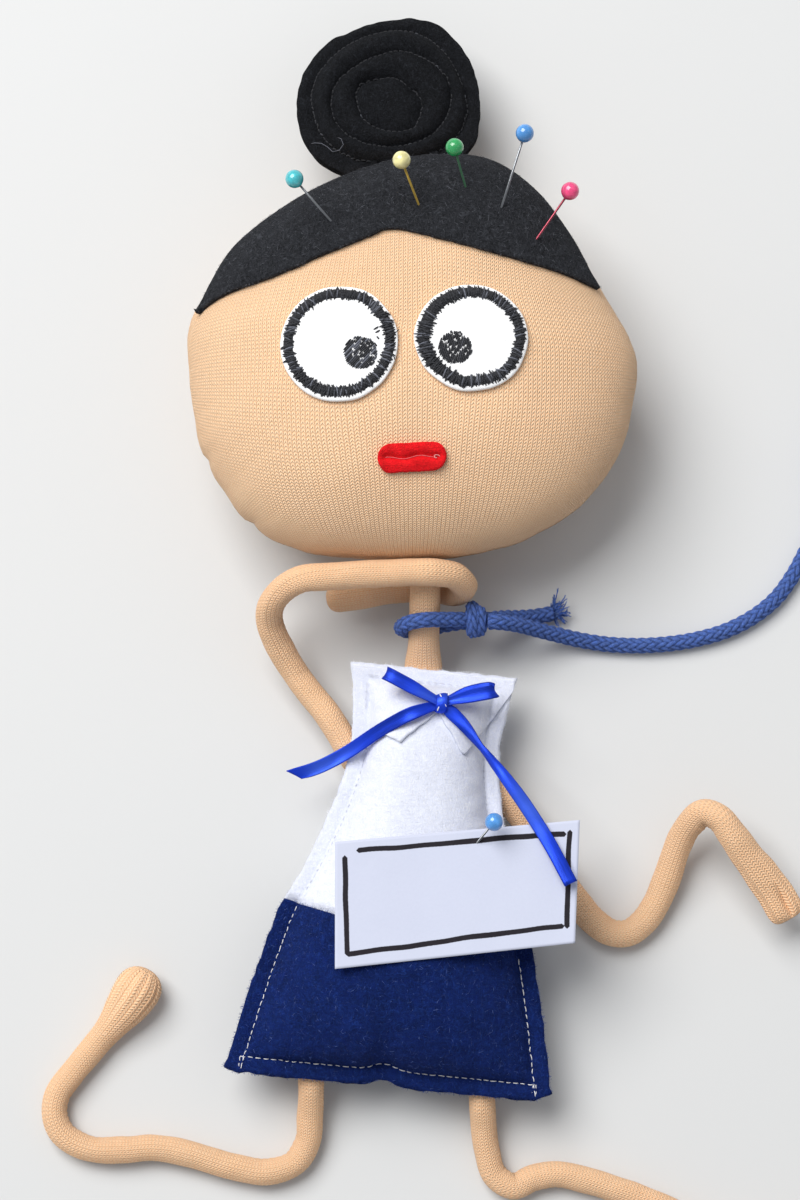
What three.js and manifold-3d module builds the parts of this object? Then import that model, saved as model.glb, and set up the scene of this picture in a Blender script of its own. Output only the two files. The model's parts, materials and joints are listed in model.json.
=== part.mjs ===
// A hand-sewn stress doll that lies on its back.
// Millimetres. +Y runs from the feet to the head, +X to the right of the doll as seen from above, and
// +Z up from the table. The origin is the middle of the flat on which its back rests.

import * as THREE from "three";
import { mergeVertices } from "three/addons/utils/BufferGeometryUtils.js";
import Module from "manifold-3d";

const wasm = await Module();
wasm.setup();

// Cloth and the gap between pieces that touch
const CLEARANCE = 0.3;
const FELT = 1.0;
const JERSEY = 1.0;
const FLAT_CUT = 0.5;

// Body: bodice and skirt are one flat stuffed bag with its seams outside
const BODY_LEAN = -5.5;
const WAIST_X = -0.1;
const WAIST_Y = -5.1;
const SIDE_SEAM_HEIGHT = 12;
const BODICE_LENGTH = 53.3;
const SKIRT_LENGTH = 40.3;
const SEAM_MARGIN = 3.6;
const BODICE_LOFT = 9.5;
const SKIRT_LOFT = 12;
const CHEST_AT = 0.68;
const LEFT_SIDE = { top: 17.4, chest: 15.2, waist: 26.2, hem: 36.3 };
const RIGHT_SIDE = { top: 20.6, chest: 18.2, waist: 27.0, hem: 36.6 };
const HEM_DIP = 3.0;
const HEM_DIP_WIDTH = 5.5;
const HEM_DIP_X = -0.9;

// Head: an oval cushion with its seam inside
const HEAD_WIDTH = 101.6;
const HEAD_HEIGHT = 94.0;
const HEAD_SEAM_HEIGHT = 23.5;
const HEAD_LOFT = 22.0;
const HEAD_SHIFT = -2.6;
const HAIR_FELT = 1.1;
const EYE_LEFT = { x: -16.1, y: -2.9, halfWidth: 12.9, halfHeight: 12.9 };
const EYE_RIGHT = { x: 12.8, y: -1.5, halfWidth: 12.5, halfHeight: 12.0 };
const MOUTH = { x: -0.2, y: -27.8, length: 16.0, height: 6.6, turn: 3 };

// Bun: two quilted rounds of felt over wadding
const BUN_RADIUS = 20.9;
const BUN_FIRST_RING = 6.5;
const BUN_RING_STEP = 5.6;
const BUN_RINGS = 3;
const BUN_PUFF = 3.4;
const BUN_QUILTED = 1.5;
const BUN_TILT = -11;
const BUN_X = -4.8;
const BUN_OVERLAP = 5.2;

// Neck, arms and legs: jersey tubes round a soft wire
const NECK_REACH = 23.4;
const NECK_SEAT = 2.6;
const NECK_X = -0.6;
const NECK_RADIUS = 3.5;
const NECK_FOOT = { halfWidth: 4.3, halfHeight: 2.7 };
const ARM_RADIUS = 3.1;
const LEG_RADIUS = 2.9;
const LIMB_SEAT = 3.0;
const WIRE_RADIUS = 0.9;
const WIRE_ROOM = 0.5;
const WIRE_END = 6;
const HAND = { halfWidth: 4.7, halfHeight: 2.3, length: 11 };
const TUCKED_HAND = { halfWidth: 3.3, halfHeight: 2.6, length: 8 };
const FOOT = { halfWidth: 5.4, halfHeight: 4.6, length: 15 };
const LEFT_LEG_X = -17.2;
const RIGHT_LEG_X = 21.0;
const LEFT_ARM_DROP = 24.0;
const RIGHT_ARM_DROP = 21.5;
const ARM_SWING = { low: -10, high: 30 };
const LEFT_LEG_SWING = { low: -25, high: 40 };
const RIGHT_LEG_SWING = { low: -30, high: 40 };

// Pearl-headed pins
const PIN_LENGTH = 36;
const PIN_RADIUS = 0.32;
const BEAD_RADIUS = 2.0;

// Name card, cut a little askew
const CARD_WIDTH = 54.0;
const CARD_LOWER_WIDTH = 52.8;
const CARD_SKEW = 2.7;
const CARD_HEIGHT = 27.2;
const CARD_THICKNESS = 0.3;
const CARD_TURN = 11.2;
const CARD_PIN_FROM_LEFT = 31.0;
const CARD_PIN_FROM_TOP = 3.0;
const CARD_PIN_AT = { x: 14.7, y: 14.3 };
const CARD_PIN_LEAN = { x: 3.2, y: 4.5, rise: 5.8 };

// Satin ribbon
const RIBBON_WIDTH = 3.0;
const RIBBON_THICKNESS = 0.35;
const BOW_X = 4.0;
const BOW_DROP = 8.5;
const BOW_KNOT = { length: 3.6, width: 4.6, height: 2.4 };

// Braided cord
const CORD_DIAMETER = 3.5;
const KNOT = { length: 4.8, width: 8.0, height: 7.4 };
const KNOT_REACH = 11.6;
const LOOP_BELOW_HEAD = 13.2;
const COIL_TURNS = 2;
const COIL_MIDDLE_RADIUS = 17.5;
const COIL_GAP = 0.5;
const COIL_STEPS = 24;
const COIL_SIDES = 6;
const CORD_SIDES = 8;

// Fineness of the soft forms
const HEAD_SECTORS = 32;
const BUN_SECTORS = 24;
const LIMB_SIDES = 8;
const LIMB_STEP = 4;

const DEG = Math.PI / 180;
const rad = (degrees) => degrees * DEG;
const vec = (x, y, z = 0) => new THREE.Vector3(x, y, z);
const clamp = THREE.MathUtils.clamp;
const smoothstep = THREE.MathUtils.smoothstep;
const lerp = THREE.MathUtils.lerp;

function finish(color, roughness, metalness = 0) {
  return new THREE.MeshStandardMaterial({ color, roughness, metalness });
}

const PEACH_JERSEY = finish(0xe9b184, 0.95);
const BLACK_FELT = finish(0x15161a, 1.0);
const WHITE_FELT = finish(0xe9ebf2, 1.0);
const BLUE_FELT = finish(0x15286b, 1.0);
const RED_FELT = finish(0xc3141c, 0.95);
const WADDING = finish(0xf4f2ea, 1.0);
const SOFT_WIRE = finish(0xb9bcc0, 0.4, 0.9);
const PIN_STEEL = finish(0xc9ccd0, 0.25, 1.0);
const PAPER = finish(0xf4f5f7, 0.85);
const SATIN = finish(0x1a3fc0, 0.35);
const BRAID = finish(0x123a9c, 0.85);
const PEARLS = {
  teal: finish(0x35b3c0, 0.2),
  cream: finish(0xe2cf82, 0.2),
  green: finish(0x2fa54f, 0.2),
  blue: finish(0x4a82d8, 0.2),
  pink: finish(0xe04a7a, 0.2),
};

// Meshes and solids

// A mesh from points and triangles, turned so that its faces point outwards.
function meshFrom(points, faces) {
  const cross = vec(0, 0, 0);
  const volume = faces.reduce(
    (sum, [a, b, c]) => sum + points[a].dot(cross.crossVectors(points[b], points[c])),
    0,
  );
  const outward = volume < 0 ? faces.map(([a, b, c]) => [a, c, b]) : faces;
  const geometry = new THREE.BufferGeometry();
  const numbers = points.flatMap((point) => point.toArray());
  geometry.setAttribute("position", new THREE.Float32BufferAttribute(numbers, 3));
  geometry.setIndex(outward.flat());
  return geometry;
}

// A closed surface through rings of points, drawn in to one point past each end.
function loft(rings, first, last) {
  const sides = rings[0].length;
  const points = [first, ...rings.flat(), last];
  const at = (ring, side) => 1 + ring * sides + (side % sides);
  const end = points.length - 1;
  const faces = [];
  for (let side = 0; side < sides; side += 1) {
    faces.push([0, at(0, side), at(0, side + 1)]);
    faces.push([end, at(rings.length - 1, side + 1), at(rings.length - 1, side)]);
    for (let ring = 0; ring < rings.length - 1; ring += 1) {
      faces.push([at(ring, side), at(ring + 1, side), at(ring + 1, side + 1)]);
      faces.push([at(ring, side), at(ring + 1, side + 1), at(ring, side + 1)]);
    }
  }
  return meshFrom(points, faces);
}

// A closed slab over a grid of plan points, each with its own upper and lower height.
function slab(grid, upper, lower) {
  const rows = grid.length;
  const columns = grid[0].length;
  const flat = grid.flat();
  const points = [
    ...flat.map((p) => vec(p.x, p.y, upper(p))),
    ...flat.map((p) => vec(p.x, p.y, lower(p))),
  ];
  const top = (row, column) => row * columns + column;
  const under = (row, column) => rows * columns + top(row, column);
  const faces = [];
  const quad = (a, b, c, d) => faces.push([a, b, c], [a, c, d]);
  for (let row = 0; row < rows - 1; row += 1) {
    for (let column = 0; column < columns - 1; column += 1) {
      const next = column + 1;
      quad(top(row, column), top(row, next), top(row + 1, next), top(row + 1, column));
      quad(under(row, column), under(row + 1, column), under(row + 1, next), under(row, next));
    }
  }
  // The wall between two neighbours on the rim, taken anticlockwise round it
  const wall = ([rowA, columnA], [rowB, columnB]) =>
    quad(top(rowA, columnA), under(rowA, columnA), under(rowB, columnB), top(rowB, columnB));
  for (let row = 0; row < rows - 1; row += 1) {
    wall([row + 1, 0], [row, 0]);
    wall([row, columns - 1], [row + 1, columns - 1]);
  }
  for (let column = 0; column < columns - 1; column += 1) {
    wall([0, column], [0, column + 1]);
    wall([rows - 1, column + 1], [rows - 1, column]);
  }
  return meshFrom(points, faces);
}

function solidOf(geometry) {
  const bare = geometry.clone();
  bare.deleteAttribute("normal");
  bare.deleteAttribute("uv");
  const merged = mergeVertices(bare, 1e-4);
  return new wasm.Manifold(
    new wasm.Mesh({
      numProp: 3,
      vertProperties: merged.getAttribute("position").array,
      triVerts: new Uint32Array(merged.getIndex().array),
    }),
  );
}

function geometryOf(solid) {
  const mesh = solid.getMesh();
  const geometry = new THREE.BufferGeometry();
  geometry.setAttribute("position", new THREE.BufferAttribute(mesh.vertProperties, 3));
  geometry.setIndex(new THREE.BufferAttribute(mesh.triVerts, 1));
  return geometry;
}

const cut = (body, ...tools) =>
  geometryOf(tools.reduce((left, tool) => left.subtract(solidOf(tool)), solidOf(body)));
const common = (a, b) => geometryOf(solidOf(a).intersect(solidOf(b)));
const join = (...parts) =>
  geometryOf(parts.slice(1).reduce((whole, part) => whole.add(solidOf(part)), solidOf(parts[0])));

// An upright prism over a plan outline, tall enough to cross the whole doll.
function prism(outline) {
  const tall = 2 * (HEAD_SEAM_HEIGHT + HEAD_LOFT);
  const upright = { depth: 2 * tall, bevelEnabled: false };
  return new THREE.ExtrudeGeometry(new THREE.Shape(outline), upright).translate(0, 0, -tall);
}

function ovalOutline({ x, y, halfWidth, halfHeight }, sides) {
  return Array.from({ length: sides }, (_, i) => {
    const angle = (2 * Math.PI * i) / sides;
    return new THREE.Vector2(x + halfWidth * Math.cos(angle), y + halfHeight * Math.sin(angle));
  });
}

function smoothCurve(points) {
  return new THREE.CatmullRomCurve3(points, false, "centripetal");
}

// Points and directions along a curve at given distances; past its ends it runs straight on.
// The sections are carried along it and kept level, so that a limb that lies flat doesn't roll.
function framesAlong(curve, distances) {
  const length = curve.getLength();
  let up = vec(0, 0, 1);
  return distances.map((distance) => {
    const share = clamp(distance / length, 0, 1);
    const tangent = curve.getTangentAt(share);
    const point = curve.getPointAt(share).addScaledVector(tangent, distance - share * length);
    const level = vec(0, 0, 1).addScaledVector(tangent, -tangent.z);
    up = up.clone().addScaledVector(tangent, -up.dot(tangent)).normalize();
    up.addScaledVector(level, Math.sign(up.dot(level))).normalize();
    return { point, tangent, up, side: vec(0, 0, 0).crossVectors(tangent, up) };
  });
}

// A tube along a curve, through oval sections at the given distances.
function tube(curve, distances, sides, sizeAt, from = distances[0], to = distances.at(-1)) {
  const rings = framesAlong(curve, distances).map(({ point, up, side }, i) => {
    const { halfWidth, halfHeight } = sizeAt(distances[i]);
    return Array.from({ length: sides }, (_, k) => {
      const angle = (2 * Math.PI * (k + 0.5)) / sides;
      return point
        .clone()
        .addScaledVector(side, halfWidth * Math.cos(angle))
        .addScaledVector(up, halfHeight * Math.sin(angle));
    });
  });
  const [first, last] = framesAlong(curve, [from, to]).map(({ point }) => point);
  return loft(rings, first, last);
}

const round = (radius) => () => ({ halfWidth: radius, halfHeight: radius });

function steps(from, to, step) {
  const count = Math.max(1, Math.round((to - from) / step));
  return Array.from({ length: count + 1 }, (_, i) => lerp(from, to, i / count));
}

// Body

const bodyFrame = new THREE.Matrix4().makeRotationZ(rad(BODY_LEAN)).setPosition(WAIST_X, WAIST_Y, 0);
const worldFromBody = (x, y, z = 0) => vec(x, y, z).applyMatrix4(bodyFrame);
const inBodyFrame = (geometry) => geometry.clone().applyMatrix4(bodyFrame.clone().invert());

const topStitch = BODICE_LENGTH - SEAM_MARGIN;
const hemStitch = -SKIRT_LENGTH + SEAM_MARGIN;
const frontSeam = SIDE_SEAM_HEIGHT + CLEARANCE / 2;
const backSeam = SIDE_SEAM_HEIGHT - CLEARANCE / 2;
const backLoft = backSeam - FELT + FLAT_CUT;

// Half the body's width at a height y above the waist, out to the cut edge of the felt.
function halfWidthAt(side, y) {
  if (y <= 0) {
    return lerp(side.waist, side.hem, clamp(-y / SKIRT_LENGTH, 0, 1) ** 0.8);
  }
  const share = y / (BODICE_LENGTH * CHEST_AT);
  if (share < 1) {
    return lerp(side.chest, side.waist, (1 - share) ** 1.6);
  }
  const rise = (y - BODICE_LENGTH * CHEST_AT) / (BODICE_LENGTH * (1 - CHEST_AT));
  return lerp(side.chest, side.top, clamp(rise, 0, 1) ** 2.2);
}

// How full the stuffed bag is at a point, from 0 on the stitching to 1 in the middle.
function fullness(x, y) {
  const side = x < 0 ? LEFT_SIDE : RIGHT_SIDE;
  const across = clamp(Math.abs(x) / (halfWidthAt(side, y) - SEAM_MARGIN), 0, 1);
  const middle = (topStitch + hemStitch) / 2;
  const along = clamp(Math.abs(y - middle) / (topStitch - middle), 0, 1);
  return (1 - across ** 2.4) ** 0.75 * (1 - along ** 6) ** 0.6;
}

const loftAt = (y) => lerp(SKIRT_LOFT, BODICE_LOFT, smoothstep(y, -10, 30));
const frontRise = (x, y) => fullness(x, y) * loftAt(y);
const frontSurface = (x, y) => frontSeam + FELT + frontRise(x, y);

const ACROSS = [0.28, 0.55, 0.8, 0.94];
const hemDip = (x) => HEM_DIP * Math.exp(-(((x - HEM_DIP_X) / HEM_DIP_WIDTH) ** 2));

// Plan points of the bag, row by row; the rows near the hem follow its dip.
function bodyGrid(rows, columns) {
  return rows.map((row) =>
    columns.map((column) => {
      const side = column < 0 ? LEFT_SIDE : RIGHT_SIDE;
      const stitched = halfWidthAt(side, row) - SEAM_MARGIN;
      const share = clamp(Math.abs(column), 0, 1);
      const margin = Math.abs(column) > 1 ? SEAM_MARGIN : 0;
      const x = Math.sign(column) * (share * stitched + margin);
      const nearHem = smoothstep(-row, SKIRT_LENGTH / 2, SKIRT_LENGTH - SEAM_MARGIN);
      const full = fullness(Math.sign(column) * share * stitched, row);
      return { x, y: row + nearHem * hemDip(x), full, loft: loftAt(row) };
    }),
  );
}

const mirrored = (values) => [...values.map((v) => -v).reverse(), 0, ...values];
const PANEL_COLUMNS = mirrored([...ACROSS, 1, 2]);
const STUFFING_COLUMNS = mirrored(ACROSS);
const bodiceRows = [0.13, 0.3, 0.47, 0.64, 0.79, 0.89, 0.95].map((share) => share * topStitch);
const skirtRows = [0.95, 0.88, 0.74, 0.5, 0.25].map((share) => share * hemStitch);

const frontUpper = (p) => frontSeam + FELT + p.full * p.loft;
const frontLower = (p) => frontSeam + p.full * p.loft;
const backLower = (p) => Math.max(0, backSeam - FELT - p.full * backLoft);
const backUpper = (p) => backLower(p) + FELT;

const bodiceGrid = bodyGrid([CLEARANCE / 2, ...bodiceRows, topStitch, BODICE_LENGTH], PANEL_COLUMNS);
const skirtGrid = bodyGrid([-SKIRT_LENGTH, hemStitch, ...skirtRows, -CLEARANCE / 2], PANEL_COLUMNS);
const stuffingGrid = bodyGrid([...skirtRows, 0, ...bodiceRows], STUFFING_COLUMNS);
const waddingUpper = (p) => frontLower(p) - CLEARANCE;
const waddingLower = (p) => backUpper(p) + CLEARANCE;

// Collar: two points of felt on the bodice, cut from one piece, by their drop from its top edge
const bowAt = { x: BOW_X, y: BODICE_LENGTH - BOW_DROP };
const collarOutline = [
  [0.4 - LEFT_SIDE.top, 0],
  [RIGHT_SIDE.top - 0.2, 0],
  [15.8, 9.6],
  [10.4, 19.4],
  [BOW_X - 0.4, BOW_DROP + 1.6],
  [-4.0, 18.5],
  [-10.5, 12.1],
  [0.6 - LEFT_SIDE.top, 5.3],
].map(([x, drop]) => new THREE.Vector2(x, BODICE_LENGTH - drop));
const collarLower = (p) => frontUpper(p) + CLEARANCE;
const collarUpper = (p) => collarLower(p) + FELT;
const collar = common(slab(bodiceGrid, collarUpper, collarLower), prism(collarOutline));

// Head

const neckFoot = worldFromBody(NECK_X, BODICE_LENGTH - NECK_SEAT);
const bodyTop = worldFromBody(NECK_X, BODICE_LENGTH);
const headBottom = bodyTop.y + NECK_REACH;
const headCentre = vec(bodyTop.x + HEAD_SHIFT, headBottom + HEAD_HEIGHT / 2, HEAD_SEAM_HEIGHT);

// The head's outline in shares of half its width and half its height.
const HEAD_SHAPE = [
  [1.0, -0.11], [0.976, 0.036], [0.911, 0.185], [0.846, 0.33], [0.73, 0.575], [0.58, 0.8],
  [0.36, 0.965], [0.089, 0.99], [-0.189, 0.935], [-0.535, 0.765], [-0.807, 0.52], [-0.935, 0.285],
  [-0.998, 0.1], [-0.995, -0.05], [-0.974, -0.275], [-0.925, -0.5], [-0.84, -0.66], [-0.745, -0.8],
  [-0.58, -0.92], [-0.35, -0.985], [-0.03, -0.995], [0.25, -0.975], [0.51, -0.9], [0.77, -0.715],
  [0.925, -0.46],
];
const headOutline = new THREE.CatmullRomCurve3(
  HEAD_SHAPE.map(([x, y]) => vec((x * HEAD_WIDTH) / 2, (y * HEAD_HEIGHT) / 2)),
  true,
  "centripetal",
)
  .getSpacedPoints(HEAD_SECTORS)
  .slice(0, HEAD_SECTORS);

const pillow = (share) => (1 - share ** 2.6) ** 0.5;

// The back is as deep as the seam is high, and is cut flat where the head rests.
const headLoft = (side) => (side > 0 ? HEAD_LOFT : HEAD_SEAM_HEIGHT - CLEARANCE / 2 + FLAT_CUT);

// Height over the seam of the head's front (side 1) or back (side -1), drawn in by an inset.
function headLift(side, share, inset) {
  const lift = side * ((headLoft(side) - inset) * pillow(share) + CLEARANCE / 2);
  return Math.max(lift, inset - HEAD_SEAM_HEIGHT);
}

function headRing(side, share, inset) {
  const z = headLift(side, share, inset);
  return headOutline.map((point) => {
    const reach = share * (1 - inset / point.length());
    return vec(point.x * reach, point.y * reach, z);
  });
}

const HEAD_RINGS = [0.3, 0.55, 0.76, 0.9, 0.975, 1];
const headRings = (side, inset) => HEAD_RINGS.map((share) => headRing(side, share, inset));
const headPole = (side, inset) => vec(0, 0, headLift(side, 0, inset));

// A shell of cloth over the front or the back of the head, between two insets.
function headShell(side, outer, inner) {
  const rings = [...headRings(side, outer), ...headRings(side, inner).reverse()];
  return loft(rings, headPole(side, outer), headPole(side, inner));
}

function headBall(inset) {
  const rings = [...headRings(1, inset), ...headRings(-1, inset).reverse()];
  return loft(rings, headPole(1, inset), headPole(-1, inset));
}

// Height of the hair over the seam at a plan point of the head.
function hairSurface(x, y) {
  const angle = Math.atan2(y, x);
  const near = (point) => Math.abs(Math.atan2(Math.sin(angle - point.phase), Math.cos(angle - point.phase)));
  const phased = headOutline.map((point) => ({ phase: Math.atan2(point.y, point.x), reach: point.length() }));
  const closest = phased.sort((a, b) => near(a) - near(b)).slice(0, 2);
  const weight = near(closest[1]) / (near(closest[0]) + near(closest[1]));
  const reach = lerp(closest[1].reach, closest[0].reach, weight) + CLEARANCE + HAIR_FELT;
  return (HEAD_LOFT + CLEARANCE + HAIR_FELT) * pillow(Math.hypot(x, y) / reach) + CLEARANCE / 2;
}

const hairOutset = -CLEARANCE - HAIR_FELT;

// Like the head's outline, in shares of half its width and half its height.
const hairline = smoothCurve(
  [
    [-0.972, 0.202], [-0.795, 0.262], [-0.577, 0.355], [-0.36, 0.426], [-0.187, 0.494], [-0.12, 0.538],
    [-0.051, 0.532], [0.055, 0.509], [0.283, 0.434], [0.484, 0.377], [0.679, 0.343], [0.833, 0.3],
  ].map(([x, y]) => vec((x * HEAD_WIDTH) / 2, (y * HEAD_HEIGHT) / 2)),
).getPoints(24);
const beyond = HEAD_WIDTH;
const hairArea = [
  new THREE.Vector2(-beyond, hairline[0].y - 6),
  ...hairline.map((p) => new THREE.Vector2(p.x, p.y)),
  new THREE.Vector2(beyond, hairline.at(-1).y - 8),
  new THREE.Vector2(beyond, beyond),
  new THREE.Vector2(-beyond, beyond),
];

function mouthOutline() {
  const straight = (MOUTH.length - MOUTH.height) / 2;
  const turn = rad(MOUTH.turn);
  const ends = [1, -1].flatMap((end) =>
    Array.from({ length: 7 }, (_, i) => {
      const angle = (end < 0 ? Math.PI : 0) - Math.PI / 2 + (Math.PI * i) / 6;
      const x = end * straight + (MOUTH.height / 2) * Math.cos(angle);
      const y = (MOUTH.height / 2) * Math.sin(angle);
      return new THREE.Vector2(x, y).rotateAround(new THREE.Vector2(), turn);
    }),
  );
  return ends.map((p) => new THREE.Vector2(p.x + MOUTH.x, p.y + MOUTH.y));
}

const faceFelt = () => headShell(1, -CLEARANCE - FELT, -CLEARANCE);

// Bun

const bunFrame = new THREE.Matrix4().makeRotationX(rad(BUN_TILT));
const headTop = (HEAD_HEIGHT / 2) * 0.985;
bunFrame.setPosition(BUN_X, headTop + BUN_RADIUS - BUN_OVERLAP, BUN_RADIUS * Math.sin(rad(BUN_TILT)) - 1.6);

// Radius and height of each line round the bun: crests between the quilting rings.
function bunLines() {
  const lines = [];
  for (let ring = 0; ring < BUN_RINGS; ring += 1) {
    const valley = BUN_FIRST_RING + ring * BUN_RING_STEP;
    const outermost = ring === BUN_RINGS - 1;
    lines.push({ radius: valley - BUN_RING_STEP / 2, height: BUN_PUFF });
    lines.push({ radius: valley, height: outermost ? 0 : BUN_QUILTED });
  }
  return lines;
}

function bunRings(side, lift, lines) {
  return lines.map(({ radius, height }) =>
    Array.from({ length: BUN_SECTORS }, (_, i) => {
      const angle = (2 * Math.PI * i) / BUN_SECTORS;
      return vec(radius * Math.cos(angle), radius * Math.sin(angle), side * (height + lift));
    }),
  );
}

const bunEdge = { radius: BUN_RADIUS, height: 0 };
const bunPole = (side, lift) => vec(0, 0, side * (BUN_PUFF + lift));

function bunPanel(side) {
  const lines = [...bunLines(), bunEdge];
  const under = CLEARANCE / 2;
  const rings = [...bunRings(side, under + FELT, lines), ...bunRings(side, under, lines).reverse()];
  return loft(rings, bunPole(side, under + FELT), bunPole(side, under));
}

function bunWadding() {
  const lines = bunLines().slice(0, -1);
  const last = lines.at(-1);
  lines.push({ radius: last.radius + BUN_RING_STEP / 4, height: BUN_PUFF / 2 });
  const lift = -CLEARANCE / 2;
  const rings = [...bunRings(1, lift, lines), ...bunRings(-1, lift, lines).reverse()];
  return loft(rings, bunPole(1, lift), bunPole(-1, lift));
}

const headRoom = headBall(hairOutset - CLEARANCE).applyMatrix4(bunFrame.clone().invert());

// Limbs

const flatFacet = Math.cos(Math.PI / LIMB_SIDES);
const rootHeight = (radius) => frontSeam - CLEARANCE - radius * flatFacet;

// A limb whose root is a ball under the front panel and whose end swells to a hand or a foot.
function limb(points, radius, end) {
  const curve = smoothCurve(points);
  const length = curve.getLength();
  const roundings = [0.13, 0.5, 1];
  const tip = end.halfWidth;
  const middle = steps(radius, length - tip, LIMB_STEP);
  const distances = [
    ...roundings.slice(0, -1).map((share) => share * radius),
    ...middle,
    ...roundings.slice(0, -1).map((share) => length - share * tip).reverse(),
  ];
  const sizeAt = (distance) => {
    const swell = smoothstep(distance, length - end.length - tip, length - tip);
    const rootShare = clamp(1 - distance / radius, 0, 1);
    const tipShare = clamp(1 - (length - distance) / tip, 0, 1);
    const rounding = Math.sqrt(1 - rootShare ** 2) * Math.sqrt(1 - tipShare ** 2);
    return {
      halfWidth: rounding * lerp(radius, end.halfWidth, swell),
      halfHeight: rounding * lerp(radius, end.halfHeight, swell),
    };
  };
  const skin = tube(curve, distances, LIMB_SIDES, sizeAt, 0, length);
  const inside = middle.filter((distance) => distance < length - WIRE_END - LIMB_STEP / 2);
  const wireEnd = inside.at(-1);
  const bore = tube(curve, [-1, ...inside], 4, round(WIRE_RADIUS + WIRE_ROOM));
  const wire = tube(curve, [CLEARANCE, ...inside.slice(0, -1), wireEnd - CLEARANCE], 4, round(WIRE_RADIUS));
  return { curve, radius, pivot: curve.getPointAt(radius / length), skin: cut(skin, bore), wire };
}

// The room that a limb's root needs in the back panel, over its whole swing.
function rootRoom({ curve, radius, pivot }, swing = { low: 0, high: 0 }) {
  const room = radius + CLEARANCE;
  const reach = 4 * radius;
  const sleeve = tube(curve, [radius, ...steps(radius * 2, reach, LIMB_STEP)], LIMB_SIDES, round(room));
  const ball = new THREE.SphereGeometry(room, LIMB_SIDES, LIMB_SIDES).translate(...pivot.toArray());
  const turns = swing.low === swing.high ? [0] : steps(swing.low, swing.high, 15);
  const sleeves = turns.map((turn) =>
    sleeve
      .clone()
      .translate(-pivot.x, -pivot.y, 0)
      .rotateZ(rad(turn))
      .translate(pivot.x, pivot.y, 0),
  );
  return inBodyFrame(join(ball, ...sleeves));
}

// Route points are steps from the root in plan, with the height of the tube's underside.
function routeFrom(root, radius, route) {
  const rest = radius * flatFacet;
  const start = vec(root.x, root.y, rootHeight(radius));
  return [start, ...route.map(([x, y, z]) => vec(root.x + x, root.y + y, z + rest))];
}

const hemRoot = (x) => worldFromBody(x, -SKIRT_LENGTH + LIMB_SEAT + hemDip(x));
const sideRoot = (side, sign, drop) => {
  const y = BODICE_LENGTH - drop;
  return worldFromBody(sign * (halfWidthAt(side, y) - LIMB_SEAT), y);
};

const leftLegRoot = hemRoot(LEFT_LEG_X);
const leftLeg = limb(
  routeFrom(leftLegRoot, LEG_RADIUS, [
    [-0.1, -4.5, 5.2], [-0.3, -10.5, 2.2], [-0.9, -16.5, 0.4], [-3.6, -21.3, 0], [-9.8, -23.5, 0],
    [-18.0, -22.2, 0], [-27.6, -19.4, 0], [-34.8, -18.2, 0], [-42.2, -18.6, 0], [-49.2, -18.4, 0],
    [-54.9, -15.8, 0], [-57.6, -11.2, 0], [-56.9, -6.2, 0], [-53.4, -1.2, 0], [-47.8, 5.6, 0.2],
    [-42.4, 12.6, 0.9], [-37.6, 19.4, 1.7], [-34.0, 27.0, 1.8],
  ]),
  LEG_RADIUS,
  FOOT,
);

const rightLegRoot = hemRoot(RIGHT_LEG_X);
const rightLeg = limb(
  routeFrom(rightLegRoot, LEG_RADIUS, [
    [0.1, -4.5, 5.2], [0.5, -10.0, 2.4], [1.3, -15.6, 0.6], [3.0, -20.6, 0], [7.0, -23.0, 0],
    [11.8, -21.2, 0], [16.8, -20.4, 0], [23.1, -21.6, 0], [32.4, -24.5, 0], [41.5, -28.1, 0],
    [51.5, -33.6, 0], [61.2, -38.8, 0.3], [70.2, -42.6, 1.5], [79.4, -45.4, 2.2],
  ]),
  LEG_RADIUS,
  FOOT,
);

const rightArmRoot = sideRoot(RIGHT_SIDE, 1, RIGHT_ARM_DROP);
const rightArm = limb(
  routeFrom(rightArmRoot, ARM_RADIUS, [
    [3.3, -4.3, 5.4], [8.0, -9.8, 4.2], [14.2, -19.6, 1.6], [20.9, -30.2, 0.4], [24.6, -35.5, 0],
    [28.6, -38.4, 0], [32.6, -38.4, 0], [35.8, -36.0, 0], [38.6, -31.6, 0.3], [40.2, -26.6, 1.0],
    [41.4, -20.4, 2.6], [43.1, -15.2, 4.8], [45.4, -11.4, 7.4], [48.6, -9.4, 10.0], [52.0, -11.0, 11.6],
    [55.1, -14.8, 11.4], [58.4, -19.2, 10.2], [62.1, -23.6, 8.6], [65.1, -27.9, 7.4], [67.6, -32.4, 6.6],
  ]),
  ARM_RADIUS,
  HAND,
);

// Neck, up from under the bodice's top edge to the head's underside
const neckTop = vec(headCentre.x - HEAD_SHIFT + 0.3, headBottom, HEAD_SEAM_HEIGHT - 2.5);
const neckFootHeight = frontSeam - CLEARANCE - NECK_FOOT.halfHeight * flatFacet;
const neckBase = vec(neckFoot.x, neckFoot.y, neckFootHeight);
const upNeck = (shareX, shareY, shareZ) =>
  vec(
    lerp(neckBase.x, neckTop.x, shareX),
    lerp(neckBase.y, neckTop.y, shareY),
    lerp(neckBase.z, neckTop.z, shareZ),
  );
const neckCurve = smoothCurve([
  neckBase,
  vec(upNeck(0.15, 0, 0).x, neckBase.y + NECK_SEAT + CLEARANCE, neckBase.z),
  upNeck(0.4, 0.38, 0.26),
  upNeck(0.8, 0.68, 0.68),
  neckTop,
]);
const neckLength = neckCurve.getLength();
const neckSize = (distance) => {
  const share = smoothstep(distance, NECK_SEAT + CLEARANCE, 3 * NECK_RADIUS);
  return {
    halfWidth: lerp(NECK_FOOT.halfWidth, NECK_RADIUS, share),
    halfHeight: lerp(NECK_FOOT.halfHeight, NECK_RADIUS, share),
  };
};
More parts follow.
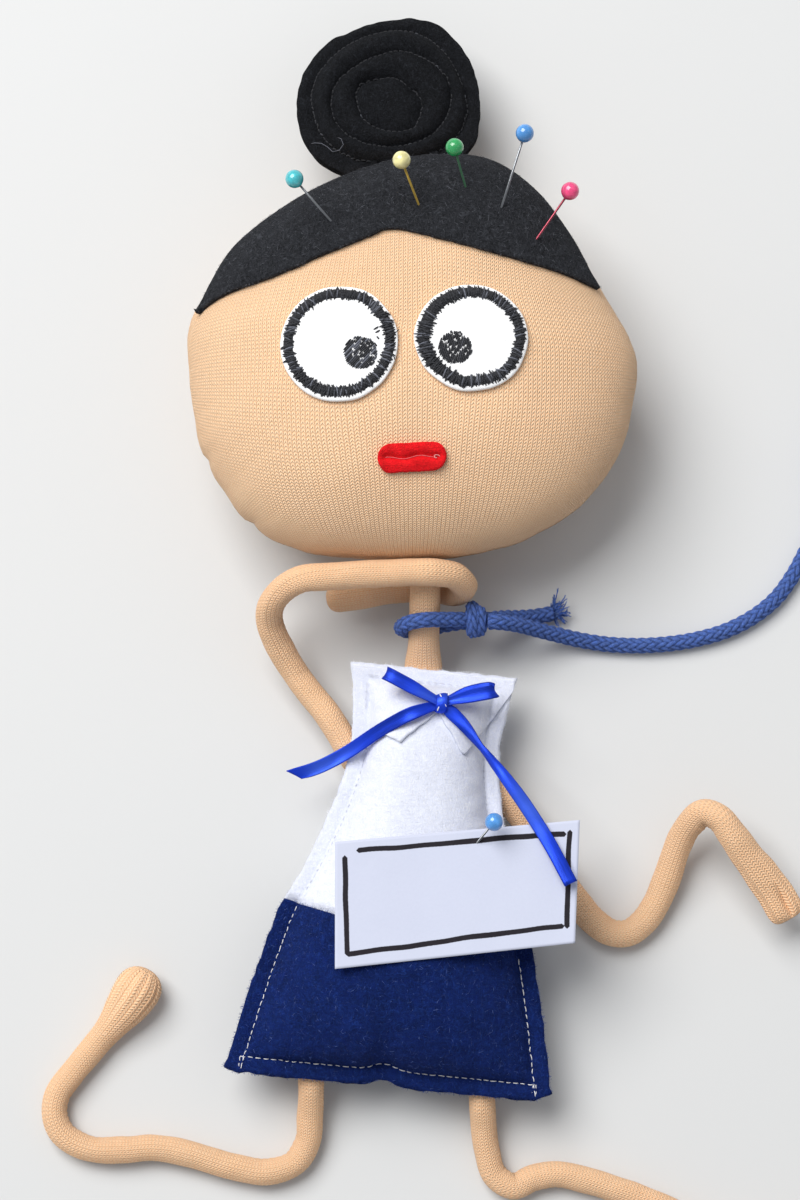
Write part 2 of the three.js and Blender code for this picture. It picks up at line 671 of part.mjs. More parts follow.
const neckSteps = steps(0, neckLength + NECK_RADIUS, LIMB_STEP);
const aboveNeck = new THREE.BoxGeometry(HEAD_WIDTH, HEAD_HEIGHT, 4 * HEAD_SEAM_HEIGHT).translate(
  neckTop.x,
  headBottom - CLEARANCE + HEAD_HEIGHT / 2,
  0,
);
const neckBore = tube(neckCurve, [-1, ...neckSteps], 4, round(WIRE_RADIUS + WIRE_ROOM));
const neckWire = tube(neckCurve, [CLEARANCE, ...neckSteps.slice(1)], 4, round(WIRE_RADIUS));
const neck = cut(tube(neckCurve, neckSteps, LIMB_SIDES, neckSize), neckBore, aboveNeck);
const neckRoomSize = (distance) => ({
  halfWidth: neckSize(distance).halfWidth + CLEARANCE,
  halfHeight: neckSize(distance).halfHeight + CLEARANCE,
});
const neckRoom = inBodyFrame(
  tube(neckCurve, [-CLEARANCE - 0.1, ...neckSteps.slice(1)], LIMB_SIDES, neckRoomSize),
);

// The neck's axis at a height in the plan, and how far above or below it something round that
// crosses it stays clear.
function neckAt(y) {
  const spots = framesAlong(neckCurve, steps(0, neckLength, 0.5));
  const { point, tangent } = spots.reduce((best, spot) =>
    Math.abs(spot.point.y - y) < Math.abs(best.point.y - y) ? spot : best,
  );
  return { point, tangent, reach: (radius) => (NECK_RADIUS + CLEARANCE + radius) / tangent.y };
}

// The arm that goes up from the side, across the front of the neck and back behind it.
// Its last points are steps from the neck's axis, just under the head.
const leftArmRoot = sideRoot(LEFT_SIDE, -1, LEFT_ARM_DROP);
const wrapHeight = headBottom - CLEARANCE - ARM_RADIUS - 0.3;
const wrap = neckAt(wrapHeight);
const wrapBehind = wrap.reach(ARM_RADIUS) + 4 * Math.tan(Math.acos(wrap.tangent.y));
const wrapPoints = [
  [-35.0, -9.6, -5.6], [-33.8, -4.6, 0.4], [-28.0, -1.2, 5.0], [-19.0, -0.5, 6.6],
  [-6.0, 0, wrap.reach(ARM_RADIUS) - 0.4], [1.0, 0.1, wrap.reach(ARM_RADIUS) - 0.2], [5.8, -0.2, 5.0],
  [8.2, -1.4, 0.2], [6.8, -3.0, -5.8], [2.0, -3.8, -wrapBehind],
  [-4.0, -4.0, -wrapBehind], [-11.0, -4.0, 0.4 - wrapBehind], [-20.6, -4.2, 0.9 - wrapBehind],
].map(([x, y, z]) => vec(wrap.point.x + x, wrap.point.y + y, wrap.point.z + z));
const leftArm = limb(
  [
    ...routeFrom(leftArmRoot, ARM_RADIUS, [[-2.0, 4.0, 5.4], [-6.2, 11.4, 4.8]]),
    vec(
      lerp(leftArmRoot.x, wrapPoints[0].x, 0.72),
      lerp(leftArmRoot.y, wrapPoints[0].y, 0.68),
      ARM_RADIUS + 4.4,
    ),
    ...wrapPoints,
  ],
  ARM_RADIUS,
  TUCKED_HAND,
);

// Pins

// A pin stands in the surface at an entry point; lean is the step from there to its bead.
function pinFrame(entry, lean) {
  const towardsBead = vec(lean.x, lean.y, lean.rise);
  const turn = new THREE.Quaternion().setFromUnitVectors(vec(0, 0, 1), towardsBead.clone().normalize());
  return { bead: entry.clone().add(towardsBead), turn };
}

// A round bar along Z, from a low end to a high end.
const bar = (radius, low, high) =>
  new THREE.CylinderGeometry(radius, radius, high - low, 6)
    .rotateX(Math.PI / 2)
    .translate(0, 0, (low + high) / 2);
const pinShaft = () => bar(PIN_RADIUS, -PIN_LENGTH, 0);
const pinHole = () => bar(PIN_RADIUS + CLEARANCE, -PIN_LENGTH - CLEARANCE, BEAD_RADIUS / 2);
const pinBead = () =>
  cut(
    new THREE.SphereGeometry(BEAD_RADIUS, 10, 6),
    bar(PIN_RADIUS + CLEARANCE, -1.5 * BEAD_RADIUS, CLEARANCE),
  );
const placedHole = ({ bead, turn }) => pinHole().applyQuaternion(turn).translate(...bead.toArray());

const HAIR_PINS = [
  { colour: "teal", at: [-0.364, 0.56], lean: { x: -7.5, y: 6.8, rise: 8 } },
  { colour: "cream", at: [0.022, 0.634], lean: { x: -3.6, y: 7.2, rise: 8 } },
  { colour: "green", at: [0.228, 0.736], lean: { x: -2.4, y: 6.0, rise: 8 } },
  { colour: "blue", at: [0.39, 0.63], lean: { x: 4.7, y: 12.8, rise: 12 } },
  { colour: "pink", at: [0.547, 0.481], lean: { x: 6.8, y: 8.2, rise: 8 } },
].map((pin) => {
  const x = (pin.at[0] * HEAD_WIDTH) / 2;
  const y = (pin.at[1] * HEAD_HEIGHT) / 2;
  return { colour: pin.colour, ...pinFrame(vec(x, y, hairSurface(x, y)), pin.lean) };
});
const hairHoles = HAIR_PINS.map(placedHole);

// Name card, flat on the fullest part of the body

const cardLevel = frontSeam + FELT + SKIRT_LOFT + CLEARANCE;
const cardPin = pinFrame(vec(CARD_PIN_AT.x, CARD_PIN_AT.y, cardLevel), CARD_PIN_LEAN);
const cardHole = placedHole(cardPin);
const cardEye = new THREE.CylinderGeometry(1.1, 1.1, 4 * CARD_THICKNESS, 10).rotateX(Math.PI / 2);
const cardOutline = [
  new THREE.Vector2(0, 0),
  new THREE.Vector2(-CARD_SKEW, -CARD_HEIGHT),
  new THREE.Vector2(CARD_LOWER_WIDTH - CARD_SKEW, -CARD_HEIGHT),
  new THREE.Vector2(CARD_WIDTH, 0),
];
const cardSheet = new THREE.ExtrudeGeometry(new THREE.Shape(cardOutline), {
  depth: CARD_THICKNESS,
  bevelEnabled: false,
}).translate(-CARD_PIN_FROM_LEFT, CARD_PIN_FROM_TOP, -CARD_THICKNESS / 2);

// Bow

// A flat band of ribbon along a route, with its width across the direction given at each point.
function band(route) {
  const curve = smoothCurve(route.map(({ at }) => at));
  const count = 2 * (route.length - 1);
  const rings = steps(0, 1, 1 / count).map((share) => {
    const spot = share * (route.length - 1);
    const low = Math.min(Math.floor(spot), route.length - 2);
    const across = route[low].across.clone().lerp(route[low + 1].across, spot - low);
    const tangent = curve.getTangent(share);
    across.addScaledVector(tangent, -across.dot(tangent)).normalize();
    const thick = vec(0, 0, 0).crossVectors(tangent, across);
    const point = curve.getPoint(share);
    const corner = (u, v) =>
      point
        .clone()
        .addScaledVector(across, (u * RIBBON_WIDTH) / 2)
        .addScaledVector(thick, (v * RIBBON_THICKNESS) / 2);
    return [corner(1, 1), corner(-1, 1), corner(-1, -1), corner(1, -1)];
  });
  const middle = (ring) => ring.reduce((sum, p) => sum.add(p), vec(0, 0, 0)).divideScalar(4);
  return loft(rings, middle(rings[0]), middle(rings.at(-1)));
}

const bowLevel = frontSurface(bowAt.x, bowAt.y) + CLEARANCE + FELT + CLEARANCE;

// A place on the ribbon: a step from the bow's middle, a height, and which way its width lies.
const spot = (x, y, z, across) => ({ at: vec(bowAt.x + x, bowAt.y + y, z), across: vec(...across) });

// A loop of the bow: out along the lower layer, round the end and back over it.
function bowLoop(reachX, reachY, spread) {
  const across = vec(-reachY, reachX).normalize();
  const part = (share, height, shift) =>
    spot(share * reachX + shift * across.x, share * reachY + shift * across.y, bowLevel + height, across);
  return band([
    part(0.05, 0.4, 0),
    part(0.5, 0.3, 0),
    part(0.92, 0.5, spread / 2),
    part(1, 1.6, spread),
    part(0.9, 2.7, spread),
    part(0.5, 2.5, spread / 2),
    part(0.05, 1.9, 0),
  ]);
}

const overCard = cardLevel + CARD_THICKNESS + CLEARANCE + RIBBON_THICKNESS / 2 + 0.2;
const flangeTop = frontSeam + FELT;
const overBody = (x, y, lift) => frontSurface(bowAt.x + x, bowAt.y + y) + lift;
const leftTailAcross = [-0.47, 0.88, 0];
const leftTail = band([
  spot(0, 0, bowLevel + 1.0, [-0.5, 0.86, 0]),
  spot(-6.9, -4.8, overBody(-6.9, -4.8, 3.1), leftTailAcross),
  spot(-13.5, -8.9, overBody(-13.5, -8.9, 2.1), leftTailAcross),
  spot(-20.1, -13.0, flangeTop + 1.9, leftTailAcross),
  spot(-25.5, -16.0, flangeTop + 1.5, leftTailAcross),
  spot(-31.2, -19.1, flangeTop + 1.9, leftTailAcross),
]);
const rightTail = band([
  spot(0, 0, bowLevel + 1.0, [0.62, 0.78, 0]),
  spot(5.6, -3.4, bowLevel + 0.9, [0.62, 0.78, 0]),
  spot(11.3, -8.5, bowLevel + 1.9, [0.5, 0.5, 0.7]),
  spot(16.6, -14.7, overCard + 0.4, [0.8, 0.6, 0]),
  spot(21.5, -21.0, overCard + 0.3, [0.84, 0.54, 0]),
  spot(26.6, -28.4, overCard, [0.85, 0.53, 0]),
  spot(31.9, -37.3, overCard, [0.87, 0.5, 0]),
]);
const knotBlock = new THREE.SphereGeometry(1, 12, 8)
  .scale(BOW_KNOT.length / 2, BOW_KNOT.width / 2, BOW_KNOT.height / 2)
  .translate(bowAt.x, bowAt.y, bowLevel + BOW_KNOT.height / 2);
const bow = join(knotBlock, bowLoop(-12.9, 5.9, 0.4), bowLoop(11.6, 5.2, -2.0), leftTail, rightTail);

// Cord

const cordRadius = CORD_DIAMETER / 2;
const loopSpot = neckAt(headBottom - LOOP_BELOW_HEAD);
const loopCentre = loopSpot.point;
const loopRadius = loopSpot.reach(cordRadius) + 0.2;
const knotCentre = vec(loopCentre.x + KNOT_REACH, loopCentre.y + 0.7, loopCentre.z);
const knotFace = knotCentre.x - KNOT.length / 2 - CLEARANCE;
const loopStrand = (share, sign) => {
  const apart = lerp(loopRadius, cordRadius + CLEARANCE / 2, share ** 1.2);
  return vec(
    lerp(loopCentre.x, knotFace, share),
    lerp(loopCentre.y, knotCentre.y, share),
    lerp(loopCentre.z, knotCentre.z, share) + sign * apart,
  );
};
const loopArc = [90, 130, 180, 230, 270].map((angle) =>
  vec(
    loopCentre.x + loopRadius * Math.cos(rad(angle)),
    loopCentre.y,
    loopCentre.z + loopRadius * Math.sin(rad(angle)),
  ),
);
const loopCurve = smoothCurve([
  loopStrand(1, 1),
  loopStrand(0.5, 1),
  ...loopArc,
  loopStrand(0.5, -1),
  loopStrand(1, -1),
]);

// The cord along a curve, with a step every so many diameters.
function cordAlong(curve, diameters) {
  const disc = { x: 0, y: 0, halfWidth: cordRadius, halfHeight: cordRadius };
  const section = new THREE.Shape(ovalOutline(disc, CORD_SIDES));
  const count = Math.round(curve.getLength() / (diameters * CORD_DIAMETER));
  return new THREE.ExtrudeGeometry(section, { steps: count, extrudePath: curve });
}

const loopBand = cordAlong(loopCurve, 0.7);
const besideKnot = new THREE.BoxGeometry(KNOT.length, 4 * KNOT.width, 4 * KNOT.height).translate(
  knotFace + KNOT.length / 2,
  knotCentre.y,
  knotCentre.z,
);
const cordLoop = cut(loopBand, besideKnot);

// The knot: a turn of cord pulled tight, with flat ends where the strands leave it.
const knotBulge = 4 / 3;
const knotTurn = new THREE.SphereGeometry(1, 12, 8).scale(
  (knotBulge * KNOT.length) / 2,
  KNOT.width / 2,
  KNOT.height / 2,
);
const knotTrim = new THREE.BoxGeometry(KNOT.length, 2 * KNOT.width, 2 * KNOT.height);
const knot = common(knotTurn, knotTrim);

const knotOut = knotCentre.x + KNOT.length / 2 + CLEARANCE;

// Points are steps from the knot's face in plan, with a height between the table and the knot.
const fromKnot = (route) =>
  route.map(([x, y, share]) => vec(knotOut + x, knotCentre.y + y, lerp(cordRadius, knotCentre.z, share)));
const tailCurve = smoothCurve(
  fromKnot([
    [0, 0.6, 0.83], [1.2, 0.7, 0.83], [4.2, 1.4, 0.61], [7.6, 1.9, 0.37], [11.6, 2.6, 0.17],
    [15.4, 3.4, 0.07], [20.4, 4.2, 0.06],
  ]),
);
const cordTail = cordAlong(tailCurve, 1);

// The free stretch, from the knot down to the table and along it to the coil.
const coilCentre = vec(118.5, 93.5);
const coilPitch = CORD_DIAMETER + COIL_GAP;
const coilOuter = COIL_MIDDLE_RADIUS + (COIL_TURNS * coilPitch) / 2;
const coilStart = vec(coilCentre.x - coilOuter, coilCentre.y - CORD_DIAMETER, cordRadius);
const runCurve = smoothCurve([
  ...fromKnot([
    [0, -0.5, 1.15], [1.2, -0.5, 1.15], [4.2, -0.5, 1.03], [7.9, -0.7, 0.79], [12.2, -1.3, 0.51],
    [16.9, -2.0, 0.26], [22.4, -2.9, 0.08], [28.9, -3.7, 0.01], [35.9, -3.9, 0], [42.9, -3.4, 0],
    [49.2, -2.3, 0], [55.5, -0.4, 0], [61.7, 2.8, 0], [66.9, 7.0, 0], [71.1, 12.6, 0], [74.9, 19.4, 0],
  ]),
  vec(coilStart.x, coilStart.y - 2 * CORD_DIAMETER, cordRadius),
  vec(coilStart.x, coilStart.y - CLEARANCE, cordRadius),
]);
const cordRun = cordAlong(runCurve, 2);

// The spare length: spirals in and out again at a steady rate, and climbs a layer in the half turn
// where it reverses.
function coilPoint(turn) {
  const climb = clamp((turn - COIL_TURNS) * 2, 0, 1);
  const reversal = COIL_TURNS + 0.25;
  const radius = coilOuter - coilPitch * (reversal - Math.abs(turn - reversal));
  const angle = Math.PI - 2 * Math.PI * turn;
  return vec(
    coilCentre.x + radius * Math.cos(angle),
    coilCentre.y + radius * Math.sin(angle),
    cordRadius + coilPitch * smoothstep(climb, 0, 1),
  );
}

const coilTotalTurns = 2 * COIL_TURNS + 0.5;
const coilSpiral = Array.from({ length: Math.round(coilTotalTurns * COIL_STEPS) + 1 }, (_, i) =>
  coilPoint(i / COIL_STEPS),
);
const coilEnd = coilSpiral.at(-1);
const coilHeading = coilEnd.clone().sub(coilSpiral.at(-2)).normalize();
const coilPoints = [coilStart, ...coilSpiral, coilEnd.clone().addScaledVector(coilHeading, CORD_DIAMETER)];

// A tube through the points themselves, one section at each.
function tubeThrough(points, sides, radius) {
  const rings = points.map((point, i) => {
    const ahead = points[Math.min(i + 1, points.length - 1)];
    const behind = points[Math.max(i - 1, 0)];
    const tangent = ahead.clone().sub(behind).normalize();
    const side = vec(0, 0, 0).crossVectors(tangent, vec(0, 0, 1)).normalize();
    const up = vec(0, 0, 0).crossVectors(side, tangent);
    return Array.from({ length: sides }, (_, k) => {
      const angle = (2 * Math.PI * (k + 0.5)) / sides;
      return point
        .clone()
        .addScaledVector(side, radius * Math.cos(angle))
        .addScaledVector(up, radius * Math.sin(angle));
    });
  });
  return loft(rings, points[0], points.at(-1));
}

const cordCoil = tubeThrough(coilPoints, COIL_SIDES, cordRadius);

const lengthOf = (points) => points.slice(1).reduce((sum, p, i) => sum + p.distanceTo(points[i]), 0);
let leastGap = Infinity;
coilPoints.forEach((a, i) => {
  coilPoints.slice(i + COIL_STEPS / 2).forEach((b) => {
    leastGap = Math.min(leastGap, a.distanceTo(b) - CORD_DIAMETER);
  });
});
const cordLength = runCurve.getLength() + lengthOf(coilPoints);
console.log("least gap between turns of the coil " + leastGap.toFixed(2) + " mm");
console.log("free cord from the knot to its far end " + cordLength.toFixed(0) + " mm");

// Assembly

const doll = new THREE.Group();

function piece(parent, name, geometry, material) {
  const mesh = new THREE.Mesh(geometry, material);
  mesh.name = name;
  parent.add(mesh);
  return mesh;
}

function pinPieces(parent, name, { bead, turn }, pearl) {
  const pin = new THREE.Group();
  pin.position.copy(bead);
  pin.quaternion.copy(turn);
  piece(pin, name + "_bead", pinBead(), pearl);
  piece(pin, name + "_shaft", pinShaft(), PIN_STEEL);
  parent.add(pin);
}

const body = new THREE.Group();
body.rotation.z = rad(BODY_LEAN);
body.position.set(WAIST_X, WAIST_Y, 0);
doll.add(body);

const armRooms = [rootRoom(rightArm, ARM_SWING), rootRoom(leftArm)];
const legRooms = [rootRoom(leftLeg, LEFT_LEG_SWING), rootRoom(rightLeg, RIGHT_LEG_SWING)];
const bodiceFront = slab(bodiceGrid, frontUpper, frontLower);
const bodiceBack = slab(bodiceGrid, backUpper, backLower);
const skirtBack = slab(skirtGrid, backUpper, backLower);
const bodyFilling = slab(stuffingGrid, waddingUpper, waddingLower);
piece(body, "bodice_front", cut(bodiceFront, cardHole), WHITE_FELT);
piece(body, "bodice_back", cut(bodiceBack, ...armRooms, neckRoom), WHITE_FELT);
piece(body, "skirt_front", slab(skirtGrid, frontUpper, frontLower), BLUE_FELT);
piece(body, "skirt_back", cut(skirtBack, ...legRooms), BLUE_FELT);
piece(body, "body_stuffing", cut(bodyFilling, cardHole, neckRoom, ...armRooms, ...legRooms), WADDING);
piece(body, "collar", collar, WHITE_FELT);
piece(body, "ribbon_bow", bow, SATIN);
pinPieces(body, "card_pin", cardPin, PEARLS.blue);

const card = new THREE.Group();
card.position.set(CARD_PIN_AT.x, CARD_PIN_AT.y, cardLevel + CARD_THICKNESS / 2);
card.rotation.z = rad(CARD_TURN);
piece(card, "name_card", cut(cardSheet, cardEye), PAPER);
body.add(card);

piece(doll, "neck", neck, PEACH_JERSEY);
piece(doll, "neck_wire", cut(neckWire, aboveNeck), SOFT_WIRE);
const limbs = { left_arm: leftArm, right_arm: rightArm, left_leg: leftLeg, right_leg: rightLeg };
for (const [name, { skin, wire }] of Object.entries(limbs)) {
  piece(doll, name, skin, PEACH_JERSEY);
  piece(doll, name + "_wire", wire, SOFT_WIRE);
}

const head = new THREE.Group();
head.position.copy(headCentre);
doll.add(head);
piece(head, "face_panel", cut(headShell(1, 0, JERSEY), ...hairHoles), PEACH_JERSEY);
piece(head, "head_back", headShell(-1, 0, JERSEY), PEACH_JERSEY);
piece(head, "head_stuffing", cut(headBall(JERSEY + CLEARANCE), ...hairHoles), WADDING);
const hairShell = common(headShell(1, hairOutset, -CLEARANCE), prism(hairArea));
piece(head, "hair", cut(hairShell, ...hairHoles), BLACK_FELT);
piece(head, "left_eye", common(faceFelt(), prism(ovalOutline(EYE_LEFT, 24))), WHITE_FELT);
piece(head, "right_eye", common(faceFelt(), prism(ovalOutline(EYE_RIGHT, 24))), WHITE_FELT);
piece(head, "mouth", common(faceFelt(), prism(mouthOutline())), RED_FELT);
for (const pin of HAIR_PINS) {
  pinPieces(head, pin.colour + "_pin", pin, PEARLS[pin.colour]);
}

const bun = new THREE.Group();
bun.applyMatrix4(bunFrame);
head.add(bun);
piece(bun, "bun_front", cut(bunPanel(1), headRoom), BLACK_FELT);
piece(bun, "bun_back", cut(bunPanel(-1), headRoom), BLACK_FELT);
piece(bun, "bun_wadding", cut(bunWadding(), headRoom), WADDING);

piece(doll, "cord_loop", cordLoop, BRAID);
const knotMesh = piece(doll, "cord_knot", knot, BRAID);
knotMesh.position.copy(knotCentre);
piece(doll, "cord_short_end", cordTail, BRAID);
piece(doll, "cord_run", cordRun, BRAID);
piece(doll, "cord_coil", cordCoil, BRAID);

export default doll;
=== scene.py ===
import bisect
import json
import math
import random

import bmesh
import bpy
from bpy.props import FloatProperty, FloatVectorProperty, PointerProperty
from mathutils import Matrix, Vector, noise


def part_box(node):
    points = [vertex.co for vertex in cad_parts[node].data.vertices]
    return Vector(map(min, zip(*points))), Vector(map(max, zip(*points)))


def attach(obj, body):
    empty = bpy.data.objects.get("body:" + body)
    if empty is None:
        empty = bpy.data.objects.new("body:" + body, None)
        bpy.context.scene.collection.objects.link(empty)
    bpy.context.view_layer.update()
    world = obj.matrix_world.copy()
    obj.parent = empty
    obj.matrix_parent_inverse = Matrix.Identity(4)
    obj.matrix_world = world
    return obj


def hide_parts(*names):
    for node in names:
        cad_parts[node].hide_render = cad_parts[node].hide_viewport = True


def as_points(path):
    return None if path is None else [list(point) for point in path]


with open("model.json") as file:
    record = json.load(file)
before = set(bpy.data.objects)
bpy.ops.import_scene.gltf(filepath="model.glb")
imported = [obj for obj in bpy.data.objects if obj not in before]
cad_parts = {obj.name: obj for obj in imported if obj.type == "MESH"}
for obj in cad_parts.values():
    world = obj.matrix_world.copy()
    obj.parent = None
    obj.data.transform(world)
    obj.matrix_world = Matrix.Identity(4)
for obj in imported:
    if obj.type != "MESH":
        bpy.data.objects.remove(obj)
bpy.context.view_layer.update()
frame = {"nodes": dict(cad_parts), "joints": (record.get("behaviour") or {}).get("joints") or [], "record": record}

bl_info = {
    "name": "Stress doll",
    "version": (1, 0, 0),
    "blender": (4, 5, 0),
    "location": "3D View > Sidebar > Stress doll",
    "description": "Dresses the frame of a hand-sewn stress doll",
    "category": "Add Mesh",
}

# Lengths are worked out in millimetres and made metres when a piece is finished.
MM = 0.001
TURN = 2 * math.pi

HOST = {
    node: body
    for body, nodes in frame["record"]["behaviour"]["bodies"].items()
    for node in nodes
}


def tint(code):
    """A colour as light, from the two hex digits that a screen uses for each of its parts."""
    parts = [int(code[i:i + 2], 16) / 255 for i in (0, 2, 4)]
    return tuple(p / 12.92 if p <= 0.04045 else ((p + 0.055) / 1.055) ** 2.4 for p in parts)


def swatch(label, description, code):
    return FloatVectorProperty(
        name=label, description=description, subtype="COLOR", size=3, min=0, max=1, default=tint(code)
    )


def measure(label, description, millimetres):
    return FloatProperty(
        name=label,
        description=description,
        default=millimetres * MM,
        min=0.01 * MM,
        precision=5,
        subtype="DISTANCE",
        unit="LENGTH",
    )


class StressDollSizes(bpy.types.PropertyGroup):
    felt: measure("Felt", "Thickness of the felt", 1.0)
    jersey: measure("Jersey", "Thickness of the jersey", 1.0)
    wale: measure("Wale", "Width of one column of knitted stitches", 1.04)
    course: measure("Course", "Height of one knitted stitch", 0.8)
    ribbon_width: measure("Ribbon width", "Width of the satin ribbon", 3.0)
    ribbon: measure("Ribbon", "Thickness of the satin ribbon", 0.3)
    cord_diameter: measure("Cord", "Diameter of the braided cord", 3.5)
    bead_diameter: measure("Bead", "Diameter of a pin's bead", 4.0)
    pin_diameter: measure("Pin", "Diameter of a pin's shaft", 0.5)
    card: measure("Card", "Thickness of the name card", 0.3)
    marker: measure("Marker", "Width of the marker's line", 1.2)
    stitch: measure("Stitch", "Length of one running stitch", 1.3)
    thread: measure("Thread", "Diameter of the sewing thread", 0.22)
    ring_width: measure("Eye ring", "Width of the satin-stitched ring round an eye", 2.5)
    pupil: measure("Pupil", "Half the width of a pupil", 3.7)


class StressDollColours(bpy.types.PropertyGroup):
    # A more orange copy of the head's jersey: painted warm shade
    limb: swatch("Arms and legs", "Jersey of the arms, legs and neck", "FFDAB2")
    skin: swatch("Skin", "Jersey of the head", "FFE0BA")
    hair: swatch("Hair", "Felt of the hair and the bun", "1A1B1E")
    bodice: swatch("Bodice", "Felt of the bodice and the collar", "DCE1F2")
    skirt: swatch("Skirt", "Felt of the skirt", "0A1A52")
    mouth: swatch("Mouth", "Felt of the mouth", "EE1520")
    eyes: swatch("Eyes", "Felt of the eyes", "FCFDFF")
    black_thread: swatch("Black thread", "Thread of the eyes and the bun", "121317")
    white_thread: swatch("White thread", "Thread of the body's seams", "F2F2F6")
    satin: swatch("Satin", "Ribbon", "1C3FD2")
    braid: swatch("Braid", "Cord", "2F57B0")
    teal: swatch("Teal bead", "First hair pin", "43B8C2")
    cream: swatch("Cream bead", "Second hair pin", "E3DB9C")
    green: swatch("Green bead", "Third hair pin", "2AA15A")
    blue: swatch("Blue bead", "Fourth hair pin and card pin", "4A90D6")
    pink: swatch("Pink bead", "Fifth hair pin", "E8457C")
    floor: swatch("Floor", "Table under the doll", "D4D5D5")


def sizes():
    return bpy.context.scene.stress_doll_sizes


def colours():
    return bpy.context.scene.stress_doll_colours


def mm(length):
    return length / MM


def mix(first, second, share):
    return first + (second - first) * share


def clamp(value, low=0.0, high=1.0):
    return max(low, min(high, value))


def ease(value, low, high):
    """0 below low, 1 above high, and a smooth step between them."""
    share = clamp((value - low) / (high - low))
    return share * share * (3 - 2 * share)


def bell(value, width):
    """1 at 0, and less on either side: about a third at the width."""
    return math.exp(-((value / width) ** 2))


def ripple(x, y, z, size, seed=0.0):
    """A soft random height between about -1 and 1, with lumps of a given size."""
    return noise.noise(Vector((x / size + seed, y / size - seed, z / size + 0.37 * seed))) * 1.6


# Lines in space


def spline(points, closed=False, fineness=16):
    """Points on the smooth curve through the given ones, as a bent wire would run."""
    knots = [Vector(p) for p in points]
    count = len(knots)
    spans = count if closed else count - 1
    line = []
    for i in range(spans):
        if closed:
            a, b, c, d = (knots[(i + k - 1) % count] for k in range(4))
        else:
            b, c = knots[i], knots[i + 1]
            a = knots[i - 1] if i > 0 else 2 * b - c
            d = knots[i + 2] if i + 2 < count else 2 * c - b
        ab, bc, cd = (max((q - p).length, 1e-6) ** 0.5 for p, q in ((a, b), (b, c), (c, d)))
        leave = ((b - a) / ab - (c - a) / (ab + bc) + (c - b) / bc) * bc
        arrive = ((c - b) / bc - (d - b) / (bc + cd) + (d - c) / cd) * bc
        for step in range(fineness):
            t = step / fineness
            line.append(
                b
                + leave * t
                + (3 * (c - b) - 2 * leave - arrive) * t**2
                + (2 * (b - c) + leave + arrive) * t**3
            )
    if not closed:
        line.append(knots[-1])
    return line


class Route:
    """A smooth line with its length, along which a tube, a cord or a ribbon runs."""

    def __init__(self, points, fineness=16):
        self.line = spline(points, fineness=fineness)
        self.reach = [0.0]
        for a, b in zip(self.line, self.line[1:]):
            self.reach.append(self.reach[-1] + (b - a).length)
        self.length = self.reach[-1]

    def at(self, distance):
        i = clamp(bisect.bisect_right(self.reach, distance) - 1, 0, len(self.line) - 2)
        share = (distance - self.reach[i]) / (self.reach[i + 1] - self.reach[i])
        return self.line[i].lerp(self.line[i + 1], share)

    def heading(self, distance):
        reach = 0.2
        return (self.at(distance + reach) - self.at(distance - reach)).normalized()

    def bend(self, distance):
        """The direction of the inside of the bend, as long as one over its radius."""
        low = clamp(distance - 2, 0, self.length)
        high = clamp(distance + 2, 0, self.length)
        return (self.heading(high) - self.heading(low)) / max(high - low, 0.5)

    def frames(self, distances):
        """The point, heading, side and top at each distance; the top is carried along and kept level."""
        up = Vector((0, 0, 1))
        found = []
        for distance in distances:
            heading = self.heading(distance)
            level = Vector((0, 0, 1)) - heading * heading.z
            up = (up - heading * up.dot(heading)).normalized()
            sign = 1 if up.dot(level) >= 0 else -1
            up = (up + level * (0.2 * sign)).normalized()
            found.append((self.at(distance), heading, heading.cross(up), up))
        return found


def even(low, high, step):
    """Numbers from low to high, both included, about a step apart."""
    count = max(1, round((high - low) / step))
    return [mix(low, high, i / count) for i in range(count + 1)]


# Forms


def cloth_place(form):
    """Where the form keeps its points' places on the flat cloth."""
    return form.loops.layers.uv.get("UVMap") or form.loops.layers.uv.new("UVMap")


def cloth_form(columns, rows, place, cloth=None, into=None, depth=None):
    """A grid whose points are put where place(u, v) says, for u and v from 0 to 1.

    cloth(u, v) says where a point lies on the flat cloth, in millimetres, and depth(u, v) how deep
    it lies in the relief."""
    form = into or bmesh.new()
    flat = cloth_place(form)
    deep = form.verts.layers.float.get("depth") or form.verts.layers.float.new("depth")
    made = bmesh.ops.create_grid(form, x_segments=columns, y_segments=rows, size=0.5)["verts"]
    for face in {face for vert in made for face in vert.link_faces}:
        face.smooth = True
        for loop in face.loops:
            u, v = loop.vert.co.x + 0.5, loop.vert.co.y + 0.5
            loop[flat].uv = cloth(u, v) if cloth else (u, v)
    for vert in made:
        u, v = vert.co.x + 0.5, vert.co.y + 0.5
        vert.co = place(u, v)
        if depth:
            vert[deep] = depth(u, v)
    bmesh.ops.remove_doubles(form, verts=made, dist=0.0006)
    return form


def tube_form(route, spans, sides, section, cloth=None, into=None, depth=None):
    """A tube along a route; section(distance, angle) gives its reach sideways and upwards, and cloth
    how wide the flat cloth round it is."""
    frames = route.frames(spans)
    last = len(spans) - 1

    def place(u, v):
        i = round(u * last)
        point, _, side, up = frames[i]
        angle = TURN * v
        across, above = section(spans[i], angle)
        return point + side * (across * math.cos(angle)) + up * (above * math.sin(angle))

    def flat(u, v):
        return (spans[round(u * last)], v * cloth)

    def deep(u, v):
        return depth(spans[round(u * last)], TURN * v)

    return cloth_form(last, sides, place, flat if cloth else None, into, deep if depth else None)


